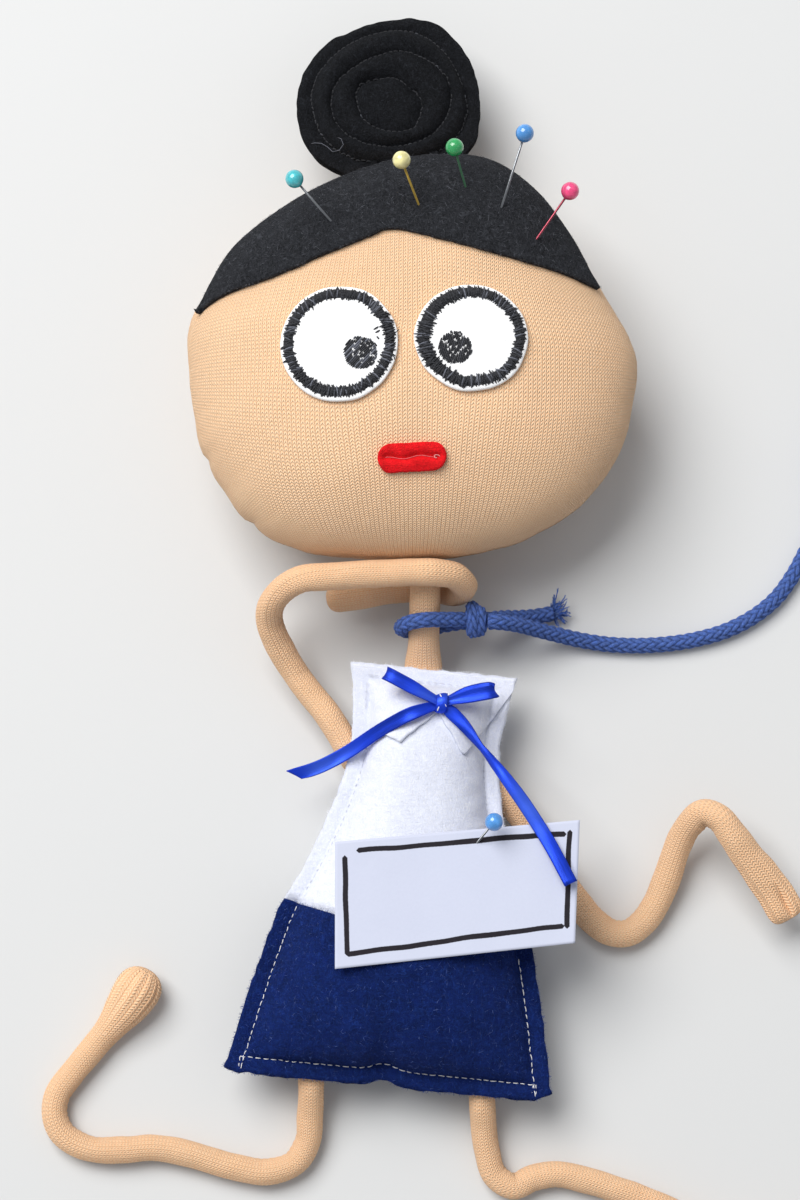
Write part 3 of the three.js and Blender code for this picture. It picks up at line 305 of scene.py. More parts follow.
def round_form(centre, reach, profile, height, sectors):
    """A patch round a centre. reach(angle) is its outline; profile holds, from the middle out and
    back underneath, pairs of a share of the reach and a share of the thickness."""
    last = len(profile) - 1

    def place(u, v):
        angle = TURN * u
        share, thick = profile[round(v * last)]
        far = reach(angle) * share
        x = centre[0] + far * math.cos(angle)
        y = centre[1] + far * math.sin(angle)
        return Vector((x, y, height(x, y, thick)))

    return cloth_form(sectors, last, place)


def thread(form, points, thickness, tone=0.5, sides=5, fineness=4, taper=0.55):
    """One stitch or loose thread: a thin closed tube, with its tone kept in its cloth place; taper
    is how thick it is at its ends."""
    route = Route(points, fineness)
    spans = [0, 0.0, *[route.length * (i + 0.5) / (fineness + 1) for i in range(fineness + 1)]]
    spans += [route.length, route.length]
    last = len(spans) - 1
    frames = route.frames(spans)

    def place(u, v):
        i = round(u * last)
        point, _, side, up = frames[i]
        radius = 0 if i in (0, last) else thickness / 2
        if i in (1, last - 1):
            radius *= taper
        angle = TURN * v
        return point + side * (radius * math.cos(angle)) + up * (radius * math.sin(angle))

    return cloth_form(last, sides, place, lambda u, v: (tone, u), form)


def fuzz(form, count, at_edges, seed, longest):
    """Fine stray fibres that stand out of a felt surface, and more of them along its cut edges."""
    rng = random.Random(seed)
    form.normal_update()
    faces = form.faces[:]
    edges = [edge for edge in form.edges if edge.is_boundary]
    spots = [
        (face.calc_center_median(), face.normal.copy(), None)
        for face in rng.choices(faces, weights=[face.calc_area() for face in faces], k=count)
    ]
    for edge in rng.choices(edges, weights=[edge.calc_length() for edge in edges], k=at_edges):
        face = edge.link_faces[0]
        middle = edge.verts[0].co.lerp(edge.verts[1].co, rng.random())
        spots.append((middle, face.normal.copy(), middle - face.calc_center_median()))
    lint = bmesh.new()
    flat = cloth_place(lint)
    for start, normal, outward in spots:
        way = Vector((rng.gauss(0, 1), rng.gauss(0, 1), rng.gauss(0, 1)))
        if outward is not None and outward.length > 0:
            way = way * 0.5 + outward.normalized()
        way = (way - normal * way.dot(normal)).normalized()
        side = normal.cross(way)
        reach = longest * rng.uniform(0.25, 1) * (1 if outward is None else 0.55)
        curl = reach * rng.gauss(0, 0.35)
        rise = rng.uniform(0.05, 0.26) if outward is None else rng.uniform(-0.5, 0.2)
        thin = rng.uniform(0.022, 0.036)
        tone = rng.random()
        rings = []
        for share, thickness in ((0, 1), (0.35, 1), (0.7, 0.9), (1, 0.4)):
            middle = start + way * (reach * share) + side * (curl * share**1.7)
            middle += normal * (rise * math.sin(2.2 * share) - 0.05)
            ring = []
            for angle in (0, TURN / 3, 2 * TURN / 3):
                out = side * math.cos(angle) + normal * math.sin(angle)
                ring.append(lint.verts.new(middle + out * (thin * thickness)))
            rings.append(ring)
        faces = [lint.faces.new(rings[0][::-1]), lint.faces.new(rings[-1])]
        for low, high in zip(rings, rings[1:]):
            faces += [lint.faces.new((low[i - 1], low[i], high[i], high[i - 1])) for i in range(3)]
        for face in faces:
            for loop in face.loops:
                loop[flat].uv = (tone, 0.5)
    return lint


def face_up(form, direction=(0, 0, 1)):
    """Turns an open cloth so that most of it faces a direction."""
    way = Vector(direction)
    if sum(face.normal.dot(way) * face.calc_area() for face in form.faces) < 0:
        bmesh.ops.reverse_faces(form, faces=form.faces[:])
    return form


def closed(form):
    """Turns the faces of closed shapes outwards and makes them smooth."""
    bmesh.ops.recalc_face_normals(form, faces=form.faces[:])
    for face in form.faces:
        face.smooth = True
    return form


def mesh_of(name, form):
    mesh = bpy.data.meshes.new(name)
    form.to_mesh(mesh)
    form.free()
    return mesh


def in_scene(name, data):
    made = bpy.data.objects.new(name, data)
    bpy.context.scene.collection.objects.link(made)
    return made


def dress(name, form, finishes, slot, stands_for=(), body=None, place=None):
    """Makes a finished form into a piece that rides on its body and stands for its nodes."""
    if place:
        form.transform(place)
    form.transform(Matrix.Scale(MM, 4))
    mesh = mesh_of(name, form)
    for finish in finishes:
        mesh.materials.append(finish)
    piece = in_scene(name, mesh)
    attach(piece, body or HOST[stands_for[0]])
    if stands_for:
        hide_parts(*stands_for)
    return piece


def thicken(piece, thickness, offset=-1.0):
    """Gives an open cloth its wall: on the side away from its faces, or on both for an offset of 0."""
    wall = piece.modifiers.new("Thickness", "SOLIDIFY")
    wall.thickness = thickness
    wall.offset = offset
    wall.use_even_offset = False
    return piece


# Finishes


def math_node(operation, turned=False):
    """A method that adds one Math node; turned puts the other value first."""

    def method(amount, *others):
        values = (*others, amount) if turned else (amount, *others)
        return amount.finish.amount("ShaderNodeMath", {"operation": operation}, dict(enumerate(values)))

    return method


class Amount:
    """A number that changes over a surface; a sum on it adds Math nodes."""

    def __init__(self, finish, socket):
        self.finish = finish
        self.socket = socket

    __add__, __radd__ = math_node("ADD"), math_node("ADD", True)
    __sub__, __rsub__ = math_node("SUBTRACT"), math_node("SUBTRACT", True)
    __mul__, __rmul__ = math_node("MULTIPLY"), math_node("MULTIPLY", True)
    __truediv__, __rtruediv__ = math_node("DIVIDE"), math_node("DIVIDE", True)
    __pow__ = math_node("POWER")
    __abs__ = math_node("ABSOLUTE")
    wave = math_node("SINE")
    part = math_node("FRACT")
    larger = math_node("MAXIMUM")

    def rising(self, low, high):
        """0 below low, 1 above high, and a smooth step between them."""
        return self.finish.amount(
            "ShaderNodeMapRange",
            {"interpolation_type": "SMOOTHSTEP"},
            {"Value": self, "From Min": low, "From Max": high},
        )


class Finish:
    """A material, to which nodes are added one by one."""

    def __init__(self, name, roughness=0.9, **steady):
        self.material = bpy.data.materials.new(name)
        self.material.use_nodes = True
        self.tree = self.material.node_tree
        self.shader = self.tree.nodes["Principled BSDF"]
        self.put(self.shader.inputs["Roughness"], roughness)
        for socket, value in steady.items():
            self.put(self.shader.inputs[socket.replace("_", " ")], value)

    def put(self, socket, value):
        if isinstance(value, Amount):
            value = value.socket
        if isinstance(value, bpy.types.NodeSocket):
            self.tree.links.new(value, socket)
        elif socket.type == "RGBA":
            socket.default_value = (*value[:3], 1.0)
        else:
            socket.default_value = value

    def node(self, kind, settings=None, values=None):
        made = self.tree.nodes.new(kind)
        for name, value in (settings or {}).items():
            setattr(made, name, value)
        for name, value in (values or {}).items():
            self.put(made.inputs[name], value)
        return made

    def amount(self, kind, settings=None, values=None, output=0):
        return Amount(self, self.node(kind, settings, values).outputs[output])

    def spot(self, stretch=(1, 1, 1)):
        """The place on the piece in millimetres, stretched along each axis."""
        place = self.node("ShaderNodeTexCoord").outputs["Object"]
        scale = tuple(s / MM for s in stretch)
        return self.node("ShaderNodeVectorMath", {"operation": "MULTIPLY"}, {0: place, 1: scale}).outputs[0]

    def cloth(self):
        """The place on the flat cloth, along and across."""
        flat = self.node("ShaderNodeUVMap", {"uv_map": "UVMap"}).outputs[0]
        parts = self.node("ShaderNodeSeparateXYZ", None, {0: flat})
        return Amount(self, parts.outputs[0]), Amount(self, parts.outputs[1])

    def vector(self, x, y, z=0.0):
        return self.node("ShaderNodeCombineXYZ", None, {0: x, 1: y, 2: z}).outputs[0]

    def depth(self):
        return self.amount("ShaderNodeAttribute", {"attribute_name": "depth"}, None, "Fac")

    def cloud(self, vector, scale, detail=2.0, roughness=0.5, distortion=0.0):
        names = ("Vector", "Scale", "Detail", "Roughness", "Distortion")
        values = dict(zip(names, (vector, scale, detail, roughness, distortion)))
        return self.amount("ShaderNodeTexNoise", None, values)

    def fibres(self, vector, scale, distortion=2.0, fineness=9.0):
        """Thin bent lines, as single fibres lie in felt."""
        cloud = self.cloud(vector, scale, 2.0, 0.5, distortion)
        return (1 - abs(cloud * 2 - 1)) ** fineness

    def between(self, share, first, second):
        """A colour between two others."""
        return self.node("ShaderNodeMix", {"data_type": "RGBA"}, {0: share, 6: first, 7: second}).outputs[2]

    def coloured(self, colour):
        self.put(self.shader.inputs["Base Color"], colour)

    def rough(self, amount):
        self.put(self.shader.inputs["Roughness"], amount)

    def raised(self, height):
        """Takes a height in millimetres as the relief of the surface."""
        bump = self.node("ShaderNodeBump", None, {"Strength": 1.0, "Distance": MM, "Height": height})
        self.put(self.shader.inputs["Normal"], bump.outputs[0])


def shade(colour, factor):
    return tuple(min(1.0, part * factor) for part in colour[:3])


def kept(make):
    """Makes a finish once, and hands out the same one after that.

    The words among its details go into the finish's name."""

    def fetch(*details):
        name = " ".join(["doll", make.__name__, *(detail for detail in details if isinstance(detail, str))])
        return bpy.data.materials.get(name) or make(name, *details)

    return fetch


@kept
def jersey(name, part="head"):
    """Knitted jersey: columns of small v-shaped stitches with a shadow between the columns; that shadow and the
    shade in the hollows of the stitches are painted into the colour.
    """
    # The limbs take the more orange copy of the skin, a painted warm shade, and a darker painted shade between the
    # columns
    fine, skin = (0.92, colours().limb) if part == "limb" else (1.0, colours().skin)
    finish = Finish(name, 0.92, Sheen_Weight=0.12, Sheen_Roughness=0.5, Sheen_Tint=tint("FFE2C2"))
    along, across = finish.cloth()
    spot = finish.spot()
    wobble = finish.cloud(spot, 0.45, 2.0) - 0.5
    column = (across + wobble * 0.25) / (mm(sizes().wale) * fine)
    aside = abs(column.part() - 0.5) * 2
    leg = (along / (mm(sizes().course) * fine) + aside * 0.75) * TURN
    stitch = leg.wave() * 0.5 + 0.5
    gap = aside**5 + (1 - aside) ** 4 * 0.75
    hollow = (1 - stitch) * (1 - gap * 0.5)
    broad = finish.cloud(spot, 0.06, 3.0)
    fuzz = finish.fibres(spot, 1.1, 2.5, 10.0)
    plain = finish.between(broad, shade(skin, 0.94), shade(skin, 1.06))
    # Painted shade: darker orange in the gaps between the columns and in the hollows of the stitches
    shadowed = finish.between(gap * (0.95 if part == "limb" else 0.85), plain, tint("EEA66C"))
    shaded_hollows = finish.between(hollow * 0.62, shadowed, tint("F0AF78"))
    finish.coloured(finish.between(fuzz * 0.25, shaded_hollows, tint("FFF0DC")))
    finish.raised((1 - gap) * 0.15 + stitch * 0.16 + fuzz * 0.03 + finish.cloud(spot, 0.5) * 0.12)
    return finish.material


@kept
def felt(name, kind, colour, fleck, fleck_share, mottle, relief, sheen):
    """Wool felt: matted fibres that lie every way, with some lighter ones on top."""
    finish = Finish(
        name, 0.97, Sheen_Weight=sheen, Sheen_Roughness=0.6, Sheen_Tint=fleck, Specular_IOR_Level=0.12
    )
    spot = finish.spot()
    clouds = finish.cloud(spot, 0.55, 5.0, 0.62, 0.6)
    patches = finish.cloud(spot, 0.09, 2.0)
    grain = finish.cloud(spot, 3.2, 3.0, 0.6, 0.4)
    one_way = finish.fibres(finish.spot((1, 3.2, 1.5)), 0.42, 2.6, 11.0)
    other_way = finish.fibres(finish.spot((3.0, 1, 1.5)), 0.38, 2.4, 11.0)
    stray = finish.fibres(finish.spot((1.3, 1, 1)), 0.21, 3.4, 42.0)
    body = clouds * 0.6 + patches * 0.25 + grain * 0.3
    plain = finish.between(body.rising(0.36, 0.78), shade(colour, 1 - mottle), shade(colour, 1 + mottle))
    matted = finish.between((one_way.larger(other_way)) * fleck_share, plain, fleck)
    finish.coloured(finish.between(stray * (fleck_share * 1.6), matted, fleck))
    height = clouds * 0.34 + grain * 0.16 + one_way * 0.1 + other_way * 0.1 + stray * 0.06
    finish.raised(height * relief)
    return finish.material


def black_felt():
    return felt("hair", colours().hair, tint("62656D"), 0.36, 0.65, 1.7, 0.01)


def bun_felt():
    # Painted shade: the hair's felt at 0.45 of its colour, with a darker fleck
    return felt("bun", shade(colours().hair, 0.45), tint("3C3F46"), 0.36, 0.65, 1.7, 0.02)


def white_felt():
    return felt("bodice", colours().bodice, tint("FFFFFF"), 0.3, 0.04, 0.35, 0.1)


def eye_felt():
    return felt("eyes", colours().eyes, tint("FFFFFF"), 0.3, 0.02, 0.25, 0.0)


def blue_felt():
    return felt("skirt", colours().skirt, tint("2C50A8"), 0.26, 0.5, 1.2, 0.06)


def red_felt():
    return felt("mouth", colours().mouth, tint("FF3A34"), 0.25, 0.25, 0.7, 0.0)


@kept
def sewing_thread(name, kind, colour, light, highlight_share):
    """Twisted thread; each stitch keeps its own tone, and the stitches of the highest tones, the crests of the ply
    and the hairs are mixed towards a lighter colour: painted highlights.
    """
    finish = Finish(name, 0.62, Sheen_Weight=0.1, Specular_IOR_Level=0.35)
    tone, along = finish.cloth()
    spot = finish.spot()
    ply = ((along * 9 + tone * 5) * TURN).wave() * 0.5 + 0.5
    # Painted highlights: the stitches of the highest tones, and below them the ply's crests and hairs, turn
    # towards the lighter colour
    own = finish.between((tone.rising(1 - highlight_share, 1)) * 0.75, shade(colour, 0.94), light)
    hairy = finish.fibres(spot, 2.2, 1.5, 6.0)
    finish.coloured(finish.between(hairy * 0.3 + ply * 0.15, own, finish.between(0.35, own, light)))
    finish.raised(ply * 0.05 + hairy * 0.03)
    return finish.material


def black_thread():
    return sewing_thread("black", colours().black_thread, tint("7E828E"), 0.34)


def black_lint():
    return sewing_thread("black_lint", tint("1D1E22"), tint("7C7F89"), 0.5)


def blue_lint():
    return sewing_thread("blue_lint", tint("15307C"), tint("6680C4"), 0.45)


def white_lint():
    return sewing_thread("white_lint", tint("E2E6F2"), tint("FFFFFF"), 0.5)


def white_thread():
    return sewing_thread("white", colours().white_thread, tint("FFFFFF"), 0.3)


def seam_thread():
    return sewing_thread("seam", tint("DADDEA"), tint("FFFFFF"), 0.3)


def pink_thread():
    return sewing_thread("pink", tint("EA5058"), tint("FFC9C4"), 0.4)


@kept
def satin(name):
    """Satin ribbon: long smooth floats that shine along the ribbon, with a woven edge; its colour holds painted
    shade and painted highlights that change along the ribbon.
    """
    blue = colours().satin
    finish = Finish(name, 0.3, Metallic=0.5, Specular_IOR_Level=0.9, Specular_Tint=tint("8FB0FF"))
    along, across = finish.cloth()
    width = mm(sizes().ribbon_width)
    edge = abs(across / width - 0.5).rising(0.41, 0.44)
    streaks = finish.cloud(finish.vector(along * 0.35, across * 5.5), 1.0, 3.0, 0.6)
    weft = ((along * (TURN / 0.26)).wave() * 0.5 + 0.5) * ((across * (TURN / 0.3)).wave() * 0.5 + 0.5)
    soft = finish.cloud(finish.spot(), 0.11, 2.0)
    broad = finish.cloud(finish.vector(along * 0.04, across * 0.8), 1.0, 2.0)
    # Painted shade: a slow wave along the ribbon and a soft cloud make some stretches darker
    turned = ((along * (TURN / 37) + 2.6).wave() * 0.5 + 0.5) * 0.6 + soft * 0.4
    shaded = finish.between(turned.rising(0.2, 0.6), shade(blue, 0.5), blue)
    # Painted highlights: lighter streaks along the ribbon
    shine = streaks.rising(0.3, 0.75) * 0.4 + broad.rising(0.38, 0.62) * 0.5
    lit = finish.between(shine, shaded, shade(blue, 1.2))
    # Painted highlight: pale blue where the wave along the ribbon is high
    highlighted = finish.between(turned.rising(0.5, 0.85) * 0.4, lit, tint("5A82E8"))
    finish.coloured(finish.between(edge * 0.35, highlighted, shade(blue, 0.5)))
    finish.rough(streaks * 0.16 + 0.3 + edge * 0.2)
    finish.raised(weft * 0.02 + streaks * 0.03 + edge * 0.06)
    return finish.material


@kept
def braided_cotton(name):
    """Cotton cord: yarns of fine fibre, with painted shade where they dive under each other."""
    blue = colours().braid
    finish = Finish(name, 0.9, Sheen_Weight=0.12, Sheen_Roughness=0.5, Sheen_Tint=tint("6E90E6"))
    along, across = finish.cloth()
    spot = finish.spot()
    depth = finish.depth()
    yarn = ((along * 2.2 + across * 2.6) * TURN).wave() * 0.5 + 0.5
    crossed = ((along * 2.2 - across * 2.6) * TURN).wave() * 0.5 + 0.5
    fluff = finish.fibres(spot, 1.3, 2.0, 8.0)
    clouds = finish.cloud(spot, 1.2, 4.0, 0.6)
    lit = finish.between(clouds.rising(0.3, 0.75), shade(blue, 0.65), shade(blue, 1.35))
    threads = finish.between((yarn * crossed) * 0.5, lit, tint("8FA9D8"))
    fluffy = finish.between(fluff * 0.4, threads, tint("7F9FE8"))
    # Painted shade: dark blue down in the grooves, where the yarns dive under each other
    finish.coloured(finish.between((1 - depth.rising(0.1, 0.7)) * 0.85, fluffy, shade(blue, 0.25)))
    finish.raised(yarn * 0.07 + crossed * 0.05 + fluff * 0.1 + clouds * 0.1)
    return finish.material


@kept
def pearl(name, kind, colour):
    """A pearl lacquer over a glass bead, a little cloudy."""
    finish = Finish(name, 0.22, Coat_Weight=0.8, Coat_Roughness=0.08)
    spot = finish.spot()
    swirl = finish.cloud(spot, 0.35, 3.0, 0.5, 1.2)
    grain = finish.cloud(spot, 5.0, 2.0)
    light = finish.between(swirl.rising(0.3, 0.75), shade(colour, 0.8), shade(colour, 1.25))
    finish.coloured(finish.between(grain.rising(0.55, 0.8) * 0.25, light, tint("FFFFFF")))
    finish.rough(grain * 0.12 + 0.17)
    finish.raised(swirl * 0.03 + grain * 0.006)
    return finish.material


@kept
def pin_steel(name, kind, colour):
    """Drawn steel wire, with fine scratches along it; on some pins its colour holds a painted reflection of the
    bead.
    """
    finish = Finish(name, 0.3, Metallic=1.0)
    spot = finish.spot()
    scratches = finish.cloud(finish.spot((9, 9, 0.6)), 1.0, 3.0, 0.6)
    tarnish = finish.cloud(spot, 0.6, 2.0)
    bright = finish.between(scratches, shade(colour, 0.66), shade(colour, 0.8))
    finish.coloured(finish.between(tarnish.rising(0.5, 0.8) * 0.5, bright, shade(colour, 0.4)))
    finish.rough(scratches * 0.06 + 0.27)
    return finish.material


@kept
def soft_wire(name):
    """Galvanised wire with a dull bloom."""
    finish = Finish(name, 0.5, Metallic=0.9)
    bloom = finish.cloud(finish.spot(), 0.7, 4.0, 0.6)
    finish.coloured(finish.between(bloom.rising(0.35, 0.7), tint("8E9296"), tint("C6CACD")))
    finish.rough(bloom * 0.4 + 0.3)
    finish.raised(bloom * 0.05)
    return finish.material


@kept
def wadding(name):
    """Polyester wadding: loose white fibre in clumps."""
    finish = Finish(name, 1.0, Sheen_Weight=0.5)
    spot = finish.spot()
    clumps = finish.cloud(spot, 0.3, 5.0, 0.65, 1.0)
    strands = finish.fibres(spot, 0.8, 3.0, 6.0)
    fluffy = finish.between(clumps.rising(0.3, 0.7), tint("D9D6CC"), tint("FAF9F4"))
    finish.coloured(finish.between(strands * 0.5, fluffy, tint("FFFFFF")))
    finish.raised(clumps * 0.8 + strands * 0.3)
    return finish.material


@kept
def paper(name, kind, border):
    """Plain card with a border drawn on it by hand with a marker."""
    finish = Finish(name, 0.72, Specular_IOR_Level=0.2)
    x, y = finish.cloth()
    spot = finish.spot()
    pulp = finish.cloud(spot, 1.4, 5.0, 0.7)
    broad = finish.cloud(spot, 0.08, 2.0)
    plain = finish.between(pulp * 0.5 + broad * 0.5, tint("C2C7DA"), tint("D0D5E7"))
    shake = finish.cloud(finish.vector(x * 0.07, y * 0.07), 1.0, 1.0) - 0.5
    bleed = finish.cloud(finish.vector(x * 2.4, y * 2.4), 1.0, 2.0) - 0.5
    half = mm(sizes().marker) / 2
    ink = None
    for (x0, y0), (x1, y1) in border:
        length = math.hypot(x1 - x0, y1 - y0)
        dx, dy = (x1 - x0) / length, (y1 - y0) / length
        forward = (x - x0) * dx + (y - y0) * dy
        aside = (y - y0) * dx - (x - x0) * dy
        past = (abs(forward - length / 2) - length / 2).larger(0)
        far = abs(aside + shake * 1.3)
        line = 1 - (far + past + bleed * 0.12).rising(half - 0.1, half + 0.06)
        ink = line if ink is None else ink.larger(line)
    patchy = finish.cloud(finish.vector(x * 0.8, y * 0.8), 1.0, 3.0)
    black = finish.between(patchy, tint("100D13"), tint("231E28"))
    finish.coloured(finish.between(ink, plain, black))
    finish.rough(0.74 - ink * 0.2)
    finish.raised(pulp * 0.035 - ink * 0.01)
    return finish.material


@kept
def table_top(name):
    """A plain pale matt surface."""
    finish = Finish(name, 0.7)
    broad = finish.cloud(finish.spot(), 0.012, 3.0)
    finish.coloured(finish.between(broad, shade(colours().floor, 0.98), colours().floor))
    return finish.material


# Cord


CORD_SIDES = 40
CORD_STEP = 0.3
YARNS = 8
YARN_PITCH = 2.2


def braid_height(distance, angle):
    """Height of the braid, from 0 in a groove to 1 on top of a yarn.

    Yarns wind both ways round the cord, and each passes over two and then under two of the others."""
    one_way = angle / TURN * YARNS + distance / YARN_PITCH
    other_way = angle / TURN * YARNS - distance / YARN_PITCH
    step = (math.floor(one_way) + math.floor(other_way)) % 4
    aside, ahead = (one_way % 1, other_way % 1) if step < 2 else (other_way % 1, one_way % 1)
    shown = (step % 2 + ahead) / 2
    return math.sin(math.pi * aside) ** 0.7 * (0.3 + 0.7 * math.sin(math.pi * shown) ** 0.7)


def cord_form(points, diameter=None, fineness=16, into=None):
    """A plaited cord along a route, closed at both ends."""
    route = Route(points, fineness)
    radius = (diameter or mm(sizes().cord_diameter)) / 2
    middle = even(0.25, route.length - 0.25, CORD_STEP)
    spans = [0.0, 0.02, *middle, route.length - 0.02, route.length]

    def section(distance, angle):
        if distance in (0.0, route.length):
            return 0.0, 0.0
        end = min(distance, route.length - distance)
        blunt = mix(0.72, 1, ease(end, 0, 0.3))
        reach = radius * blunt * (0.83 + 0.23 * braid_height(distance, angle))
        return reach, reach

    form = tube_form(route, spans, CORD_SIDES, section, TURN * radius, into, braid_height)
    return form, route


CORD_RUN = [
    (18.76, 58.40, 16.01), (19.96, 58.40, 16.01), (22.96, 58.40, 14.52), (26.66, 58.20, 11.55),
    (30.96, 57.60, 8.08), (35.66, 56.90, 4.97), (41.16, 56.00, 2.74), (47.66, 55.20, 1.87),
    (54.66, 55.00, 1.75), (61.66, 55.50, 1.75), (67.96, 56.60, 1.75), (74.26, 58.50, 1.75),
    (80.46, 61.70, 1.75), (85.66, 65.90, 1.75), (89.86, 71.50, 1.75), (93.66, 78.30, 1.75),
    (97.00, 83.00, 1.75),
]
COIL_CENTRE = (118.5, 93.5)
COIL_OUTER = 21.5
COIL_PITCH = 4.0
COIL_TURNS = 2
COIL_STEPS = 24
CORD_LEVEL = 1.75
LOOP_RADIUS = 5.95
KNOT_CENTRE = Vector((16.06, 58.90, 14.15))
LOOP_CENTRE = Vector((4.46, 58.20, 14.15))


def coil_point(turn):
    """A point of the spare length, which spirals in and out again a layer higher."""
    climb = ease(clamp((turn - COIL_TURNS) * 2), 0, 1)
    back = COIL_TURNS + 0.25
    radius = COIL_OUTER - COIL_PITCH * (back - abs(turn - back))
    angle = math.pi - TURN * turn
    return Vector((
        COIL_CENTRE[0] + radius * math.cos(angle),
        COIL_CENTRE[1] + radius * math.sin(angle),
        CORD_LEVEL + COIL_PITCH * climb,
    ))


class BuildCord(bpy.types.Operator):
    """Plait the long free end of the cord, from the knot to its coil"""

    bl_idname = "stress_doll.cord"
    bl_label = "Long cord"

    def execute(self, context):
        count = round((2 * COIL_TURNS + 0.5) * COIL_STEPS)
        coil = [coil_point(i / COIL_STEPS) for i in range(count + 1)]
        onward = (coil[-1] - coil[-2]).normalized() * 3.5
        route = [*CORD_RUN, (97.0, 90.0, CORD_LEVEL), *coil, coil[-1] + onward]
        form, line = cord_form(route, fineness=8)
        cord = dress("long_cord", closed(form), [braided_cotton()], "braid", ("cord_run", "cord_coil"))
        tuple(v * MM for v in CORD_RUN[0])
        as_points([tuple(p * MM) for p in line.line[::3]] + [tuple(line.line[-1] * MM)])
        return {"FINISHED"}


class BuildKnot(bpy.types.Operator):
    """Plait the loop round the neck, its knot and its short frayed end"""

    bl_idname = "stress_doll.knot"
    bl_label = "Loop, knot and short end"

    def execute(self, context):
        cotton = [braided_cotton()]
        at_knot = Vector((13.36, *KNOT_CENTRE[1:]))

        def strand(share, sign):
            """A point of one of the loop's two strands, which draw together towards the knot."""
            apart = mix(LOOP_RADIUS, 1.9, share**1.2)
            return LOOP_CENTRE.lerp(at_knot, share) + Vector((0, 0, sign * apart))

        arc = []
        for degrees, lower in ((90, 0), (130, -0.4), (180, -0.9), (230, -0.9), (270, -0.5)):
            angle = math.radians(degrees)
            back = 0.87 * LOOP_RADIUS * math.cos(angle)
            arc.append(LOOP_CENTRE + Vector((back, lower, LOOP_RADIUS * math.sin(angle))))
        loop = [strand(1.05, 1), strand(0.5, 1), *arc, strand(0.5, -1), strand(1.05, -1)]
        form, _ = cord_form(loop)
        dress("cord_loop_plait", closed(form), cotton, "braid", ("cord_loop",))

        # The wrap goes once and a half round the two strands and tucks in under itself.
        wrap = []
        for i in range(19):
            turn = i / 12
            angle = math.radians(200) - TURN * turn
            out = 0.9 if i in (0, 18) else 2.35 + 0.3 * math.sin(TURN * turn * 0.7)
            wrap.append(KNOT_CENTRE + Vector((
                mix(-1.15, 1.25, turn / 1.5) - 0.4 * math.cos(angle),
                0.15 + 1.12 * out * math.cos(angle),
                out * math.sin(angle),
            )))
        form, _ = cord_form(wrap, diameter=3.1)
        core, _ = cord_form([
            KNOT_CENTRE + Vector((-2.3, 0, 0.9)),
            KNOT_CENTRE + Vector((0, 0.1, 0.2)),
            KNOT_CENTRE + Vector((2.3, -0.4, 0.9)),
        ], into=form, diameter=3.3)
        dress("cord_knot_wrap", closed(core), cotton, "braid", ("cord_knot",))

        out = Vector((18.76, KNOT_CENTRE.y, 0))
        tail = [
            out + Vector((x, y, mix(CORD_LEVEL, KNOT_CENTRE.z, share)))
            for x, y, share in (
                (-0.6, 0.5, 0.8), (1.2, 0.7, 0.83), (4.2, 1.4, 0.61), (7.6, 1.9, 0.37), (11.6, 2.6, 0.17),
                (15.4, 3.4, 0.09),
            )
        ]
        form, line = cord_form(tail)
        self.fray(form, line)
        dress("cord_frayed_end", form, cotton, "braid", ("cord_short_end",))
        return {"FINISHED"}

    def fray(self, form, line):
        """Loose yarns at the end of the cord, some curled back in little loops."""
        rng = random.Random(5)
        end, heading, side, up = line.frames([line.length])[0]
        for _ in range(64):
            angle = rng.uniform(0, TURN)
            off = 1.45 * math.sqrt(rng.random())
            start = end + side * (off * math.cos(angle)) + up * (off * math.sin(angle)) - heading * 0.8
            fan = (side * math.cos(angle) + up * math.sin(angle)) * rng.uniform(0.15, 0.62)
            fan += Vector((0, 0.3, 0.05))
            reach = rng.uniform(2.0, 4.8)
            points = [start]
            curl = rng.uniform(-1.9, 1.9)
            crimp = rng.uniform(6, 11)
            for step in range(1, 7):
                share = step / 6
                swing = fan * (share * reach * 0.62) + side * (curl * share**2.4 * 1.6)
                ahead = heading * (reach * (share - 0.22 * share**2 * abs(curl)))
                wave = side * (0.3 * math.sin(crimp * share)) + up * (0.3 * math.cos(crimp * share + angle))
                points.append(start + ahead + swing + wave)
            for point in points:
                point.z = max(point.z, 0.25)
            thread(form, points, rng.uniform(0.18, 0.32), 0.5, sides=5, fineness=3, taper=0.8)
        bmesh.ops.recalc_face_normals(form, faces=form.faces[:])
        # The loose yarns count as lying on top, so they get none of the cord's painted groove shade
        deep = form.verts.layers.float["depth"]
        for vert in form.verts:
            if (vert.co - end).dot(heading) > 0.2:
                vert[deep] = 0.75
        return form


# Neck and limbs

FLAT_FACET = math.cos(math.pi / 8)
ARM_RADIUS = 3.1
LEG_RADIUS = 2.9
NECK_RADIUS = 3.5
WIRE_RADIUS = 0.8


def from_root(root, radius, route):
    """Route points from steps in plan and the heights of the tube's underside."""
    start = Vector(root)
    return [start, *(Vector((start.x + x, start.y + y, z + radius * FLAT_FACET)) for x, y, z in route)]


